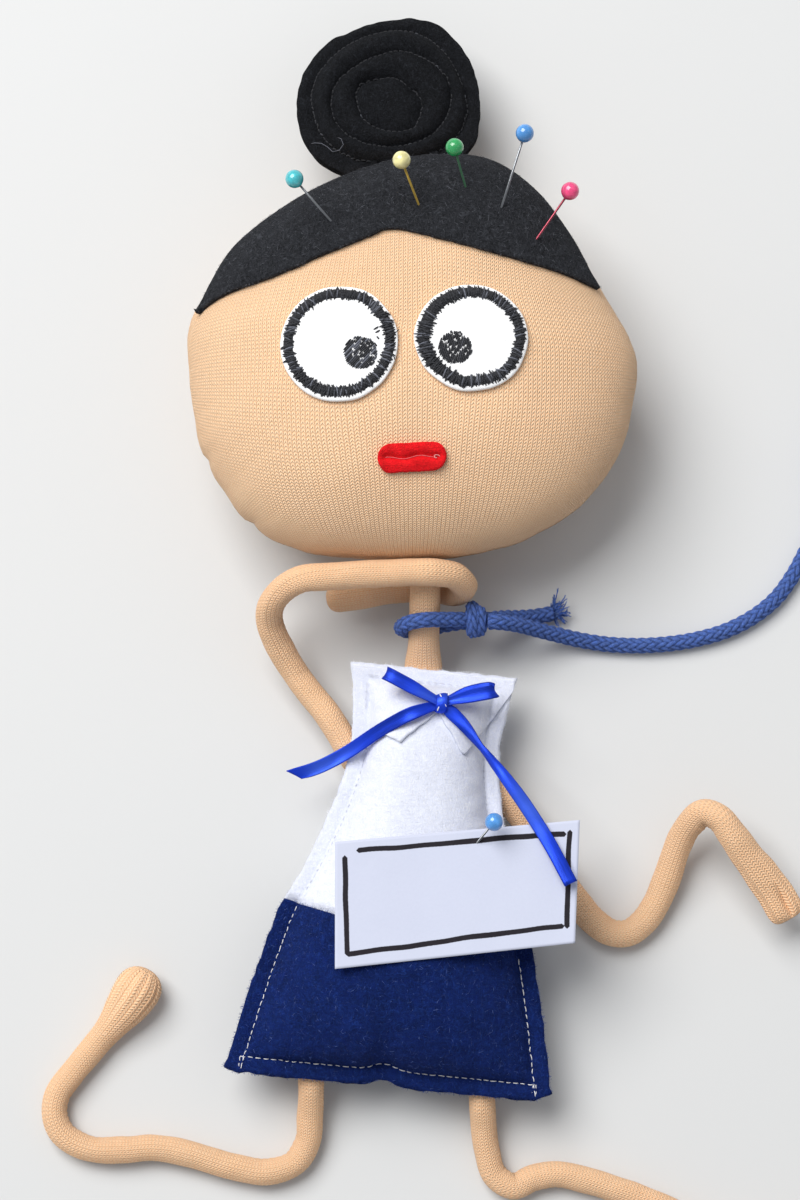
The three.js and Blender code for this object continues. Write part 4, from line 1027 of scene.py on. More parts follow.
LEFT_LEG = from_root((-20.80, -40.58, 9.17), LEG_RADIUS, [
    (-0.1, -4.5, 5.2), (-0.3, -10.5, 2.2), (-0.9, -16.5, 0.4), (-3.6, -21.3, 0), (-9.8, -23.5, 0),
    (-18.0, -22.2, 0), (-27.6, -19.4, 0), (-34.8, -18.2, 0), (-42.2, -18.6, 0), (-49.2, -18.4, 0),
    (-54.9, -15.8, 0), (-57.6, -11.2, 0), (-56.9, -6.2, 0), (-53.4, -1.2, 0), (-47.8, 5.6, 0.2),
    (-43.0, 11.6, 0.9), (-39.6, 16.4, 1.7), (-36.8, 21.4, 1.8),
])
RIGHT_LEG = from_root((17.23, -44.24, 9.17), LEG_RADIUS, [
    (0.1, -4.5, 5.2), (0.5, -10.0, 2.4), (1.3, -15.6, 0.6), (3.0, -20.6, 0), (7.0, -23.0, 0),
    (11.8, -21.2, 0), (16.8, -20.4, 0), (23.1, -21.6, 0), (32.4, -24.5, 0), (41.5, -28.1, 0),
    (51.5, -33.6, 0), (61.2, -38.8, 0.3), (70.2, -42.6, 1.5), (79.4, -45.4, 2.2),
])
RIGHT_ARM = from_root((18.38, 25.07, 8.99), ARM_RADIUS, [
    (3.3, -4.3, 5.4), (8.0, -9.8, 4.2), (14.2, -19.2, 1.6), (20.6, -28.7, 0.4), (24.4, -33.2, 0),
    (28.4, -35.8, 0), (32.2, -35.9, 0), (35.4, -33.9, 0), (38.2, -30.2, 0.3), (40.2, -26.0, 1.0),
    (42.1, -20.4, 2.6), (44.0, -15.2, 4.8), (46.2, -11.5, 7.4), (49.0, -9.6, 10.0), (52.3, -11.0, 11.6),
    (55.1, -14.8, 11.4), (58.4, -19.2, 10.2), (62.1, -23.8, 8.6), (65.4, -28.3, 7.4), (68.2, -33.2, 6.6),
])
LEFT_ARM = [
    (-10.21, 25.31, 8.99), (-12.21, 29.31, 8.26), (-16.41, 36.71, 7.66), (-24.70, 47.64, 7.50),
    (-30.33, 58.15, 13.83), (-29.13, 63.15, 19.83), (-23.33, 66.55, 24.43), (-14.33, 67.25, 26.03),
    (-1.33, 67.80, 26.60), (5.67, 67.95, 26.80), (10.80, 67.60, 24.60), (13.20, 66.30, 19.60),
    (11.60, 65.40, 13.90), (7.20, 66.60, 10.90), (0.00, 66.80, 10.40), (-7.60, 65.70, 10.70),
    (-17.80, 64.30, 11.20),
]
NECK = [
    (4.24, 45.45, 9.35), (4.31, 48.35, 9.35), (4.43, 55.31, 12.38), (4.62, 63.10, 17.27),
    (4.71, 71.41, 21.00),
]


def limb_form(points, radius, end, seed, pleats, blunt, seam, crease=0.0):
    """A stuffed tube of jersey, rounded at its root, swollen or flattened at its end.

    end is its half width, half height and length; pleats is how deep the cloth is gathered at the
    tip; blunt makes the tip squarer; seam is where its seam runs, as a share of a turn; crease is how
    deep a fold runs along its top to the tip."""
    half_width, half_height, swell_length = end
    route = Route(points)
    length = route.length
    tip = half_width
    rounding = [0, 0.01, 0.04, 0.1, 0.19, 0.3, 0.44, 0.6, 0.78]
    spans = [share * radius for share in rounding]
    spans += even(radius, length - tip, 0.62)
    spans += [length - share * tip for share in reversed(rounding)]
    bends = {distance: route.bend(distance) for distance in spans}
    frames = dict(zip(spans, route.frames(spans)))

    def section(distance, angle):
        swell = ease(distance, length - swell_length - tip, length - tip)
        root_share = clamp(1 - distance / radius)
        tip_share = clamp(1 - (length - distance) / tip)
        root = math.sqrt(1 - root_share**2)
        wide = root * (1 - tip_share**blunt) ** (1 / blunt)
        high = root * math.sqrt(1 - tip_share**2)
        across = mix(radius, half_width, swell) * wide
        above = mix(radius, half_height, swell) * high
        _, _, side, up = frames[distance]
        outward = side * math.cos(angle) + up * math.sin(angle)
        inner = max(0.0, outward.dot(bends[distance]) * radius)
        fold = inner * (0.5 + 0.5 * math.sin(TURN * distance / 1.9 + seed + 2 * math.sin(2 * angle)))
        lumps = 0.13 * ripple(distance, 3 * math.cos(angle), 3 * math.sin(angle), 4.5, seed)
        near_seam = math.cos(angle - TURN * seam)
        ridge = 0.16 * bell(1 - near_seam, 0.016) if near_seam > 0.8 else 0
        gathered = ease(distance, length - swell_length - 0.6 * tip, length - 0.3 * tip)
        pleat = -pleats * gathered * (0.5 + 0.5 * math.cos(13 * angle + 1.2 * math.sin(3 * angle + seed)))
        folded = crease * ease(distance, length - 10, length - 3) * bell(angle - 1.75, 0.24)
        grow = (lumps + ridge + pleat - folded - 0.5 * fold) * min(wide, high)
        return across + grow, above + grow

    return closed(tube_form(route, spans, 48, section, TURN * radius))


def wire_form(points):
    """The soft wire along the middle of a limb, short of its tip."""
    route = Route(points)
    low, high = 0.6, route.length - 4.6
    spans = [low, low + 0.02, *even(low + 0.05, high - 0.05, 1.2), high - 0.02, high]

    def section(distance, _angle):
        radius = 0 if distance in (low, high) else WIRE_RADIUS
        return radius, radius

    return closed(tube_form(route, spans, 8, section))


class BuildLimbs(bpy.types.Operator):
    """Stuff the arms, the legs and the neck, tubes of jersey round a soft wire"""

    bl_idname = "stress_doll.limbs"
    bl_label = "Arms, legs and neck"

    def execute(self, context):
        limbs = {
            "left_arm": (LEFT_ARM, ARM_RADIUS, (3.3, 2.6, 8), 1.3, 0.15, 2.4, 0.33),
            "right_arm": (RIGHT_ARM, ARM_RADIUS, (4.3, 2.5, 26), 2.1, 0.5, 3.6, 0.05, 1.7),
            "left_leg": (LEFT_LEG, LEG_RADIUS, (5.4, 4.6, 15), 3.7, 0.75, 2.2, 0.45),
            "right_leg": (RIGHT_LEG, LEG_RADIUS, (5.4, 4.6, 15), 4.9, 0.75, 2.2, 0.55),
        }
        for node, (route, *shape) in limbs.items():
            tube = limb_form(route, *shape)
            dress(node + "_tube", tube, [jersey("limb")], "peach_jersey", (node,))
            dress(node + "_core", wire_form(route), [soft_wire()], "soft_wire", (node + "_wire",))
        dress("neck_tube", self.neck(), [jersey("limb")], "peach_jersey", ("neck",))
        wire_finishes = frame["nodes"]["neck_wire"].data.materials
        wire_finishes.clear()
        wire_finishes.append(soft_wire())
        return {"FINISHED"}

    def neck(self):
        """The neck's tube, which is wide and flat where it leaves the body."""
        route = Route(NECK)
        spans = [0.0, 0.05, *even(0.4, route.length, 0.5), route.length]

        def section(distance, angle):
            if distance == 0:
                return 0.0, 0.0
            share = ease(distance, 2.9, 10.5)
            lumps = 0.1 * ripple(distance, 3 * math.cos(angle), 3 * math.sin(angle), 4, 8.2)
            ridge = 0.14 * bell(1 - math.cos(angle + 1.2), 0.02)
            across, above = (mix(first, NECK_RADIUS, share) for first in (4.3, 2.7))
            return across + lumps + ridge, above + lumps + ridge

        return closed(tube_form(route, spans, 40, section, TURN * NECK_RADIUS))


# Body

BODY_PLACE = Matrix.Translation((-0.1, -5.1, 0)) @ Matrix.Rotation(math.radians(-5.5), 4, "Z")
BODICE_LENGTH = 53.3
SKIRT_LENGTH = 40.3
SEAM_MARGIN = 3.6
TOP_STITCH = BODICE_LENGTH - SEAM_MARGIN
HEM_STITCH = SEAM_MARGIN - SKIRT_LENGTH
FRONT_SEAM = 12.15
BACK_SEAM = 11.85
FELT = 1
CHEST_LOFT = 9.5
SKIRT_LOFT = 12
CARD_LEVEL = FRONT_SEAM + FELT + SKIRT_LOFT + 0.3
LEFT_SIDE = {"top": 17.4, "chest": 15.2, "waist": 26.2, "hem": 36.3}
RIGHT_SIDE = {"top": 20.6, "chest": 18.2, "waist": 27.0, "hem": 36.6}


def half_width(x, y):
    """Half the body's width at a height above the waist, out to the cut edge of the felt."""
    side = LEFT_SIDE if x < 0 else RIGHT_SIDE
    if y <= 0:
        return mix(side["waist"], side["hem"], clamp(-y / SKIRT_LENGTH) ** 0.8)
    chest = BODICE_LENGTH * 0.68
    if y < chest:
        return mix(side["chest"], side["waist"], (1 - y / chest) ** 1.6)
    return mix(side["chest"], side["top"], clamp((y - chest) / (BODICE_LENGTH - chest)) ** 2.2)


def fullness(x, y):
    """How full the stuffed bag is, from 0 on the stitching to 1 in the middle."""
    across = clamp(abs(x) / (half_width(x, y) - SEAM_MARGIN))
    middle = (TOP_STITCH + HEM_STITCH) / 2
    along = clamp(abs(y - middle) / (TOP_STITCH - middle))
    return (1 - across**2.4) ** 0.75 * (1 - along**6) ** 0.6


def smooth_front(x, y):
    """Height of the front felt's outside over the filling, without its folds."""
    return FRONT_SEAM + FELT + fullness(x, y) * mix(SKIRT_LOFT, CHEST_LOFT, ease(y, -10, 30))


def hem_dip(x):
    """How far the hem is drawn up in its middle."""
    return 1.5 * bell(x + 0.9, 3.4)


def puckers(x, y):
    """Small folds where the filled cloth is drawn in by the stitching."""
    inset = half_width(x, y) - SEAM_MARGIN - abs(x)
    over_hem = y - HEM_STITCH - hem_dip(x)
    by_side = bell(inset - 1.6, 2.2) * math.sin(y * 1.15 + 1.6 * ripple(x, y, 0, 9, 2.0))
    by_hem = bell(over_hem - 1.8, 2.4) * math.sin(x * 0.95 + ripple(x, y, 0, 8, 5))
    soft = ripple(x, y, 0, 15, 1.0) * 0.35 * clamp(fullness(x, y) * 1.4)
    return soft + 0.24 * by_side * clamp(inset, 0, 1) + 0.34 * by_hem


def front_height(x, y):
    """Height of the front felt's outside, drawn down a little where it is stitched."""
    inset = min(half_width(x, y) - SEAM_MARGIN - abs(x), TOP_STITCH - y, y - HEM_STITCH)
    drawn = 0.3 * bell(inset, 0.7)
    return smooth_front(x, y) + puckers(x, y) * clamp(fullness(x, y) * 3) - drawn


def skirt_edge(x):
    """Height of the skirt's top edge, which was cut askew."""
    return mix(-1.2 - 0.235 * (x + 26.2), -6.6, ease(x, -16, 10))


def panel_rows(low, high):
    """Heights for a panel's rows, closer together by its stitching and with one row right on it."""
    rows = {low, high, *even(low, high, 0.8)}
    for line, way in ((HEM_STITCH, 1), (TOP_STITCH, -1)):
        if low < line < high:
            rows = {row for row in rows if abs(row - line) > 1.9 or row in (low, high)}
            steps = (-2.7, -1.8, -0.9, -0.4, 0, 0.12, 0.3, 0.6, 1.0, 1.5, 2.1)
            rows |= {line + way * step for step in steps}
    return sorted(row for row in rows if low <= row <= high)


def panel_form(rows, height, edge, seed):
    """A felt panel of the bag, with a column of points right on each side's stitching; edge(x) is
    where its top edge runs, if that is cut askew."""
    inner = [math.copysign(abs(share) ** 0.72, share) for share in even(-1, 1, 2 / 84)]
    margin = even(1, 2, 0.2)[1:]
    shares = [-share for share in reversed(margin)] + inner + margin
    last = len(rows) - 1
    across = len(shares) - 1

    def place(u, v):
        row = rows[round(v * last)]
        share = shares[round(u * across)]

        def spot(level):
            bag = half_width(share, level) - SEAM_MARGIN
            far = abs(share) * bag if abs(share) <= 1 else bag + (abs(share) - 1) * SEAM_MARGIN
            return math.copysign(far, share)

        level = row + (edge(spot(row)) * ease(row, -15, 0) if edge else 0)
        x = spot(level)
        z = height(x, level)
        y = level + ease(-level, SKIRT_LENGTH / 2, SKIRT_LENGTH - SEAM_MARGIN) * hem_dip(x)
        corner = clamp(abs(share) - 1) * ease(-row, SKIRT_LENGTH - SEAM_MARGIN, SKIRT_LENGTH)
        y += corner * (2.0 if share > 0 else 0.9)
        rim = max(abs(share) - 1, 0, ease(row, BODICE_LENGTH - 2, BODICE_LENGTH))
        rim = max(rim, ease(-row, SKIRT_LENGTH - 2, SKIRT_LENGTH))
        x += rim * 0.26 * ripple(x, y, seed, 2.6, 4.0)
        y += rim * 0.26 * ripple(y, x, seed, 2.6, 7.0)
        z += rim * 0.4 * ripple(x, y, seed, 7.5, 3.0)
        return Vector((x, y, z))

    return cloth_form(across, last, place)


def back_height(x, y):
    """Height of the back felt's outside, flat where the body lies on the table."""
    return max(0.0, BACK_SEAM - FELT - fullness(x, y) * (BACK_SEAM - FELT + 0.5))


def tucked_front(x, y):
    """The bodice's front, whose lower edge dives under the skirt."""
    return front_height(x, y) - 1.25 * (1 - ease(y - skirt_edge(x), -0.2, 1.1))


def skirt_front_height(x, y):
    """The skirt's front, with its top edge laid over the bodice."""
    return front_height(x, y) + 0.25 * (1 - ease(skirt_edge(x) - y, 0, 2.2))


STITCH_WANDER = 0.1


def stitch_row(form, line, rng, thickness, stitch, gap=0.4, dim=0.0):
    """A row of running stitches along a line of points, each a little arched."""
    route = Route(line, 6)
    distance = rng.uniform(0, 0.6)
    while distance + stitch < route.length:
        length = stitch * rng.uniform(0.8, 1.15)
        sway = Vector((
            rng.uniform(-STITCH_WANDER, STITCH_WANDER), rng.uniform(-STITCH_WANDER, STITCH_WANDER), 0
        ))
        start, middle, end = (route.at(distance + length * share) for share in (0, 0.5, 1))
        low = Vector((0, 0, -0.22))
        rise = Vector((0, 0, 0.1))
        tone = rng.random() * (1 - dim)
        thread(form, [start + sway + low, middle + sway + rise, end - sway + low], thickness, tone)
        distance += length + gap * rng.uniform(0.7, 1.4)
    return form


class BuildBody(bpy.types.Operator):
    """Sew the bodice and the skirt, one flat stuffed bag of felt with its seams outside"""

    bl_idname = "stress_doll.body"
    bl_label = "Bodice and skirt"

    def execute(self, context):
        bodice_rows = panel_rows(-8.4, BODICE_LENGTH)
        skirt_rows = panel_rows(-SKIRT_LENGTH, 0.0)
        back_rows = panel_rows(0.15, BODICE_LENGTH)
        skirt_back_rows = panel_rows(-SKIRT_LENGTH, -0.15)
        pieces = (
            ("bodice_front_felt", bodice_rows, tucked_front, 1, "bodice_front", white_felt(), "white_felt"),
            ("bodice_back_felt", back_rows, back_height, -1, "bodice_back", white_felt(), "white_felt"),
            ("skirt_front_felt", skirt_rows, skirt_front_height, 1, "skirt_front", blue_felt(), "blue_felt"),
            ("skirt_back_felt", skirt_back_rows, back_height, -1, "skirt_back", blue_felt(), "blue_felt"),
        )
        for name, rows, height, way, node, finish, slot in pieces:
            edge = skirt_edge if node == "skirt_front" else None
            form = face_up(panel_form(rows, height, edge, 3.0 * way), (0, 0, way))
            if way == 1:
                fibres = (blue_lint(), 1300, 1100) if edge else (white_lint(), 260, 900)
                lint = fuzz(form, *fibres[1:], 41, 1.3)
                dress(name.replace("felt", "fibres"), lint, fibres[:1], slot, (), "torso", BODY_PLACE)
            panel = dress(name, form, [finish], slot, (node,), place=BODY_PLACE)
            thicken(panel, sizes().felt)
        stuffing = dress(
            "body_wadding", self.stuffing(), [wadding()], "wadding", ("body_stuffing",), place=BODY_PLACE
        )
        self.stitches()
        return {"FINISHED"}

    def stuffing(self):
        """A lump of wadding that fills the bag."""
        form = bmesh.new()
        bmesh.ops.create_cube(form, size=2)
        bmesh.ops.subdivide_edges(form, edges=form.edges[:], cuts=23, use_grid_fill=True)
        for vert in form.verts:
            u, v, w = vert.co
            y = mix(HEM_STITCH, TOP_STITCH, 0.5 + 0.47 * v)
            x = u * 0.92 * (half_width(u, y) - SEAM_MARGIN)
            top = smooth_front(x, y) - 2.5
            low = max(0.0, BACK_SEAM - FELT - fullness(x, y) * 11.35) + 1.6
            z = mix(low, top, 0.5 + 0.5 * w) + 0.35 * ripple(x, y, w, 6, 9)
            vert.co = (x, y + ease(-y, SKIRT_LENGTH / 2, SKIRT_LENGTH - SEAM_MARGIN) * hem_dip(x), z)
        return closed(form)

    def stitches(self):
        """The machine stitching along the sides and the hem, each corner sewn over twice."""
        rng = random.Random(11)
        cotton = mm(sizes().thread)
        stitch = mm(sizes().stitch)
        level = 0.12

        def on_front(x, y, row=None):
            return Vector((x, y, front_height(x, y if row is None else row) + level))

        def side_line(sign, low, high):
            return [
                on_front(sign * (half_width(sign, y) - SEAM_MARGIN + 0.1), y)
                for y in even(low, high, 1.5)
            ]

        skirt = bmesh.new()
        hem = [
            on_front(x, HEM_STITCH + hem_dip(x) - 0.1, HEM_STITCH - 0.1)
            for x in even(-33.5, 33.8, 1.6)
        ]
        for line in (side_line(-1, HEM_STITCH - 3.1, -2.2), side_line(1, HEM_STITCH - 3.1, -8), hem):
            stitch_row(skirt, line, rng, cotton, stitch)
        for across in (-32.6, 32.6):
            for shift in (-0.35, 0.35):
                corner = [
                    on_front(across + shift, HEM_STITCH - down, HEM_STITCH - 0.2)
                    for down in (-0.4, 1.4, 3.2)
                ]
                stitch_row(skirt, corner, rng, cotton * 0.9, stitch * 0.8, 0.2)
        dress("skirt_stitches", closed(skirt), [white_thread()], "white_felt", (), "torso", BODY_PLACE)

        bodice = bmesh.new()
        for line in (side_line(-1, 1.0, TOP_STITCH), side_line(1, 1.5, TOP_STITCH - 14)):
            stitch_row(bodice, line, rng, cotton * 0.8, stitch * 0.8, 0.5, 0.1)
        dress("bodice_stitches", closed(bodice), [seam_thread()], "white_felt", (), "torso", BODY_PLACE)


COLLAR_EDGE = [
    (-17.2, 34.2), (-13.0, 35.0), (-8.4, 37.2), (-4.4, 35.2), (3.4, 43.4), (10.4, 33.9), (15.8, 43.2),
    (20.2, 50.8),
]
COLLAR_TOP = 52.5
COLLAR_BEND = -8.4


def broken_line(points, x):
    """Height of a line of straight parts at x."""
    for (x0, y0), (x1, y1) in zip(points, points[1:]):
        if x <= x1:
            return mix(y0, y1, clamp((x - x0) / (x1 - x0)))
    return points[-1][1]


class BuildCollar(bpy.types.Operator):
    """Cut the collar, two points of felt on the bodice"""

    bl_idname = "stress_doll.collar"
    bl_label = "Collar"

    def execute(self, context):
        across = []
        for (x0, _), (x1, _) in zip(COLLAR_EDGE, COLLAR_EDGE[1:]):
            across += even(x0, x1, 0.6)[:-1]
        across.append(COLLAR_EDGE[-1][0])
        last = len(across) - 1

        def place(u, v):
            x = across[round(u * last)]
            low = broken_line(COLLAR_EDGE, x)
            y = mix(low, COLLAR_TOP, v)
            if x < COLLAR_BEND:
                # The left part ends where the body does
                share = (x - COLLAR_EDGE[0][0]) / (COLLAR_BEND - COLLAR_EDGE[0][0])
                x = mix(0.3 - half_width(-1, y), COLLAR_BEND, share)
            tip = ease(y - low, 5, 0) * ease(44 - y, 0, 6)
            lift = 0.7 + 0.2 * ease(46 - y, 0, 6) + 0.1 * tip
            x += 0.16 * ripple(x, y, 0, 2.2, 6) * (1 - v)
            y += 0.2 * ripple(x, y, 0, 2.2, 8) * (1 - v)
            return Vector((x, y, front_height(x, y) + lift))

        form = face_up(cloth_form(last, 30, place))
        collar = dress("collar_felt", form, [white_felt()], "white_felt", ("collar",), place=BODY_PLACE)
        thicken(collar, sizes().felt)
        rng = random.Random(3)
        row = bmesh.new()
        line = [
            Vector((x, TOP_STITCH + 0.6 - 0.03 * x, smooth_front(x, TOP_STITCH) + 1.38))
            for x in even(-13.2, 15.5, 2.6)
        ]
        side = [
            Vector((-13.1 + 0.02 * y, TOP_STITCH - y, smooth_front(-13.1, TOP_STITCH - y) + 1.42))
            for y in even(0.5, 7.5, 2)
        ]
        for points in (line, side):
            stitch_row(row, points, rng, 0.17, 1.1, 0.5, 0.1)
        dress("collar_stitches", closed(row), [seam_thread()], "white_felt", (), "torso", BODY_PLACE)
        return {"FINISHED"}


# Ribbon


BOW_AT = Vector((4.0, 44.8))


def ribbon_form(route, width, into, sway, pinch=None, slant=0.0):
    """A ribbon along spots, each a point and the way its width lies there; sway is how much it waves,
    pinch(u) how much narrower it is drawn, and slant how far back one of its edges is cut at the end."""
    points = spline([point for point, _ in route], fineness=12)
    last = len(points) - 1
    spans = [0.0]
    for a, b in zip(points, points[1:]):
        spans.append(spans[-1] + (b - a).length)

    def place(u, v):
        i = round(u * last)
        spot = u * (len(route) - 1)
        low = min(int(spot), len(route) - 2)
        across = route[low][1].lerp(route[low + 1][1], spot - low)
        ahead = points[min(i + 1, last)] - points[max(i - 1, 0)]
        across = (across - ahead * (across.dot(ahead) / ahead.length_squared)).normalized()
        above = ahead.normalized().cross(across)
        narrow = pinch(u) if pinch else 1.0
        off = (v - 0.5) * width * narrow
        cup = 0.3 * (1 - (2 * v - 1) ** 2) + (1 - narrow) * 0.8 * math.sin(math.pi * v)
        tilt = (v - 0.5) * 5 * ripple(spans[i], 0, 0, 10.0, 4.4)
        wave = sway * (ripple(spans[i], v * 2, 0, 5.0, 2.4) + tilt)
        back = slant * (1 - v) * ease(spans[i], spans[-1] - 2.2 * slant, spans[-1]) if slant else 0
        return points[i] + across * off + above * (cup + wave) - ahead.normalized() * back

    def flat(u, v):
        return (spans[round(u * last)], v * width)

    return cloth_form(last, 8, place, flat, into)


class BuildRibbon(bpy.types.Operator):
    """Tie the satin bow with its two tails"""

    bl_idname = "stress_doll.ribbon"
    bl_label = "Bow and tails"

    def execute(self, context):
        width = mm(sizes().ribbon_width)
        # Over the body lie the collar and, between them and over it, a little air
        level = smooth_front(*BOW_AT) + 0.3 + FELT + 0.3

        def spot(x, y, z, across):
            return Vector((BOW_AT.x + x, BOW_AT.y + y, z)), Vector(across)

        def loop(reach_x, reach_y, spread):
            across = Vector((-reach_y, reach_x, 0)).normalized()

            def part(share, height, shift):
                x = share * reach_x + shift * across.x
                y = share * reach_y + shift * across.y
                return spot(x, y, level + height, across)

            return [
                part(0.02, 0.4, 0), part(0.5, 0.3, 0), part(0.92, 0.5, spread / 2), part(1, 1.6, spread),
                part(0.9, 2.7, spread), part(0.5, 2.5, spread / 2), part(0.02, 1.9, 0),
            ]

        over_card = CARD_LEVEL + 0.3 + 0.3 + 0.175 + 0.2
        flange = FRONT_SEAM + FELT

        def over_body(x, y, lift):
            return smooth_front(BOW_AT.x + x, BOW_AT.y + y) + lift

        left_way = (-0.47, 0.88, 0)
        left = [
            spot(0, 0, level + 1.0, (-0.5, 0.86, 0)),
            spot(-6.9, -3.4, over_body(-6.9, -3.4, 3.1), left_way),
            spot(-13.5, -7.4, over_body(-13.5, -7.4, 2.1), left_way),
            spot(-20.1, -12.3, flange + 1.9, (-0.45, 0.88, 0.1)),
            spot(-25.8, -16.0, flange + 1.6, (-0.4, 0.84, 0.3)),
            spot(-32.6, -19.0, flange + 2.0, (-0.3, 0.8, 0.45)),
        ]
        right = [
            spot(0, 0, level + 1.0, (0.62, 0.78, 0)),
            spot(4.8, -3.7, level + 0.9, (0.62, 0.78, 0)),
            spot(9.9, -9.1, level + 1.9, (0.5, 0.5, 0.7)),
            spot(15.3, -15.3, over_card + 0.4, (0.8, 0.6, 0)),
            spot(20.7, -21.5, over_card + 0.3, (0.84, 0.54, 0)),
            spot(26.2, -28.7, over_card + 0.4, (0.85, 0.53, 0)),
            spot(31.9, -37.6, over_card + 2.2, (0.87, 0.5, 0)),
        ]

        def left_pinch(u):
            return mix(0.62, 1, ease(u, 0.0, 0.2))

        def right_pinch(u):
            return mix(mix(0.62, 1, ease(u, 0, 0.1)), 0.6, bell(u - 0.36, 0.16))

        def loop_pinch(u):
            return mix(0.6, 1, ease(min(u, 1 - u), 0.02, 0.2))

        form = ribbon_form(left, width, None, 0.12, left_pinch, 2.8)
        ribbon_form(right, width, form, 0.1, right_pinch)
        ribbon_form(loop(-12.9, 5.9, 0.4), width, form, 0.06, loop_pinch)
        ribbon_form(loop(10.9, 5.7, -2.0), width, form, 0.06, loop_pinch)
        bow = dress("satin_bow", form, [satin()], "satin", ("ribbon_bow",), place=BODY_PLACE)
        thicken(bow, sizes().ribbon, 0.0)
        self.knot(level, width)
        return {"FINISHED"}

    def knot(self, level, width):
        """A short turn of ribbon round the middle of the bow, sewn down with a few stitches."""
        turn = []
        for i in range(9):
            angle = TURN * i / 8 + 0.4
            x = BOW_AT.x + 0.1 * math.sin(angle)
            y = BOW_AT.y + 2.0 * math.cos(angle)
            turn.append((Vector((x, y, level + 1.25 + 1.45 * math.sin(angle))), Vector((1, 0.12, 0))))
        form = ribbon_form(turn, width * 0.82, None, 0.22)
        wrap = dress("bow_knot", form, [satin()], "satin", (), "torso", BODY_PLACE)
        thicken(wrap, sizes().ribbon, 0.0)
        rng = random.Random(8)
        sewn = bmesh.new()
        top = level + 2.95

        def on_knot(x, y):
            return Vector((BOW_AT.x + x, BOW_AT.y + y, top - 0.3 * y**2 * 0.5 - 0.15))

        for first, second in (
            ((-0.5, 1.9), (0.3, 0.6)), ((0.1, 1.6), (-0.2, -0.2)), ((0.4, 0.9), (0.2, -0.9)),
            ((-0.2, -0.4), (-0.7, -1.9)), ((0.6, 0.2), (1.2, -0.9)),
        ):
            start, end = on_knot(*first), on_knot(*second)
            middle = (start + end) / 2 + Vector((0, 0, 0.22))
            thread(sewn, [start, middle, end], 0.3, rng.random())
        dress("bow_stitches", closed(sewn), [white_thread()], "white_felt", (), "torso", BODY_PLACE)


# Card

CARD_PIN = Matrix.Translation((14.7, 14.3, CARD_LEVEL + 0.3))
CARD_PLACE = BODY_PLACE @ CARD_PIN @ Matrix.Rotation(math.radians(11.2), 4, "Z")
BORDER = (
    ((-29.2, -0.4), (-30.7, -21.2)),
    ((-26.0, 0.9), (19.3, 0.2)),
    ((20.8, 0.3), (17.8, -20.1)),
    ((-30.5, -21.4), (16.7, -19.9)),
)


class BuildCard(bpy.types.Operator):
    """Lay the name card, held by its pin; the card is left without a name"""

    bl_idname = "stress_doll.card"
    bl_label = "Name card"

    def execute(self, context):
        def flat(u, v):
            lower = Vector((-33.7, -24.3)).lerp(Vector((19.1, -23.9)), u)
            upper = Vector((-31.0, 3.3)).lerp(Vector((23.1, 2.8)), u)
            return lower.lerp(upper, v)

        def place(u, v):
            x, y = flat(u, v)
            corner = ease(-x, 12, 31) * 0.5 + ease(x, 12, 23) * ease(-y, 8, 24.5) * 0.4
            around = math.hypot(x, y)
            pressed = -0.12 * bell(around, 2.5)
            hole = bell(around, 0.45) * 0.15
            return Vector((x, y, corner + pressed + hole))

        form = face_up(cloth_form(90, 46, place, flat))
        finishes = [paper("border", BORDER)]
        card = dress("card_with_border", form, finishes, "card", ("name_card",), place=CARD_PLACE)
        thicken(card, sizes().card)
        return {"FINISHED"}


# Head

HEAD_CENTRE = Vector((1.81, 118.41, 23.5))
HEAD_PLACE = Matrix.Translation(HEAD_CENTRE)
HEAD_HALF = (50.8, 47.0)
HEAD_SHAPE = [
    (1.0, -0.11), (0.976, 0.036), (0.911, 0.185), (0.846, 0.33), (0.73, 0.575), (0.58, 0.8),
    (0.36, 0.965), (0.089, 0.99), (-0.189, 0.935), (-0.535, 0.765), (-0.807, 0.52), (-0.935, 0.285),
    (-0.998, 0.1), (-0.995, -0.05), (-0.974, -0.275), (-0.925, -0.5), (-0.84, -0.66), (-0.745, -0.8),
    (-0.58, -0.92), (-0.35, -0.985), (-0.03, -0.995), (0.25, -0.975), (0.51, -0.9), (0.77, -0.715),
    (0.925, -0.46),
]
HEAD_LOFT = 22.0
HEAD_DEPTH = 23.85


def polar_table(line):
    """The angles and the reaches of a closed line round its centre, in order of the angles."""
    table = sorted((math.atan2(p.y, p.x) % TURN, math.hypot(p.x, p.y)) for p in line)
    return [a for a, _ in table], [r for _, r in table]


HEAD_EDGE = polar_table(
    spline([(x * HEAD_HALF[0], y * HEAD_HALF[1], 0) for x, y in HEAD_SHAPE], closed=True, fineness=20)
)


def from_table(table, angle):
    """The reach at an angle."""
    angles, reaches = table
    angle %= TURN
    i = bisect.bisect_right(angles, angle)
    low, high = (i - 1) % len(angles), i % len(angles)
    span = (angles[high] - angles[low]) % TURN or 1e-9
    return mix(reaches[low], reaches[high], ((angle - angles[low]) % TURN) / span)


def head_reach(angle):
    """How far the head's seam is from its centre: a little less on top, where the hair lies over it."""
    return from_table(HEAD_EDGE, angle) - 1.5 * ease(math.sin(angle), 0.15, 0.75)


def pillow(share):
    """Height of a full cushion, from 1 in its middle to 0 at its edge."""
    return math.sqrt(max(0.0, 1 - clamp(share) ** 2.6))


def face_height(x, y, lift=0.0):
    """Height of the face over the head's seam, with the soft lumps of its filling."""
    share = clamp(math.hypot(x, y) / (head_reach(math.atan2(y, x)) + lift))
    lumps = 0.42 * ripple(x, y, 0, 17, 3.0) + 0.16 * ripple(x, y, 0, 7, 5.0)
    return (HEAD_LOFT + lift) * pillow(share) + 0.15 + lumps * (1 - share**5)


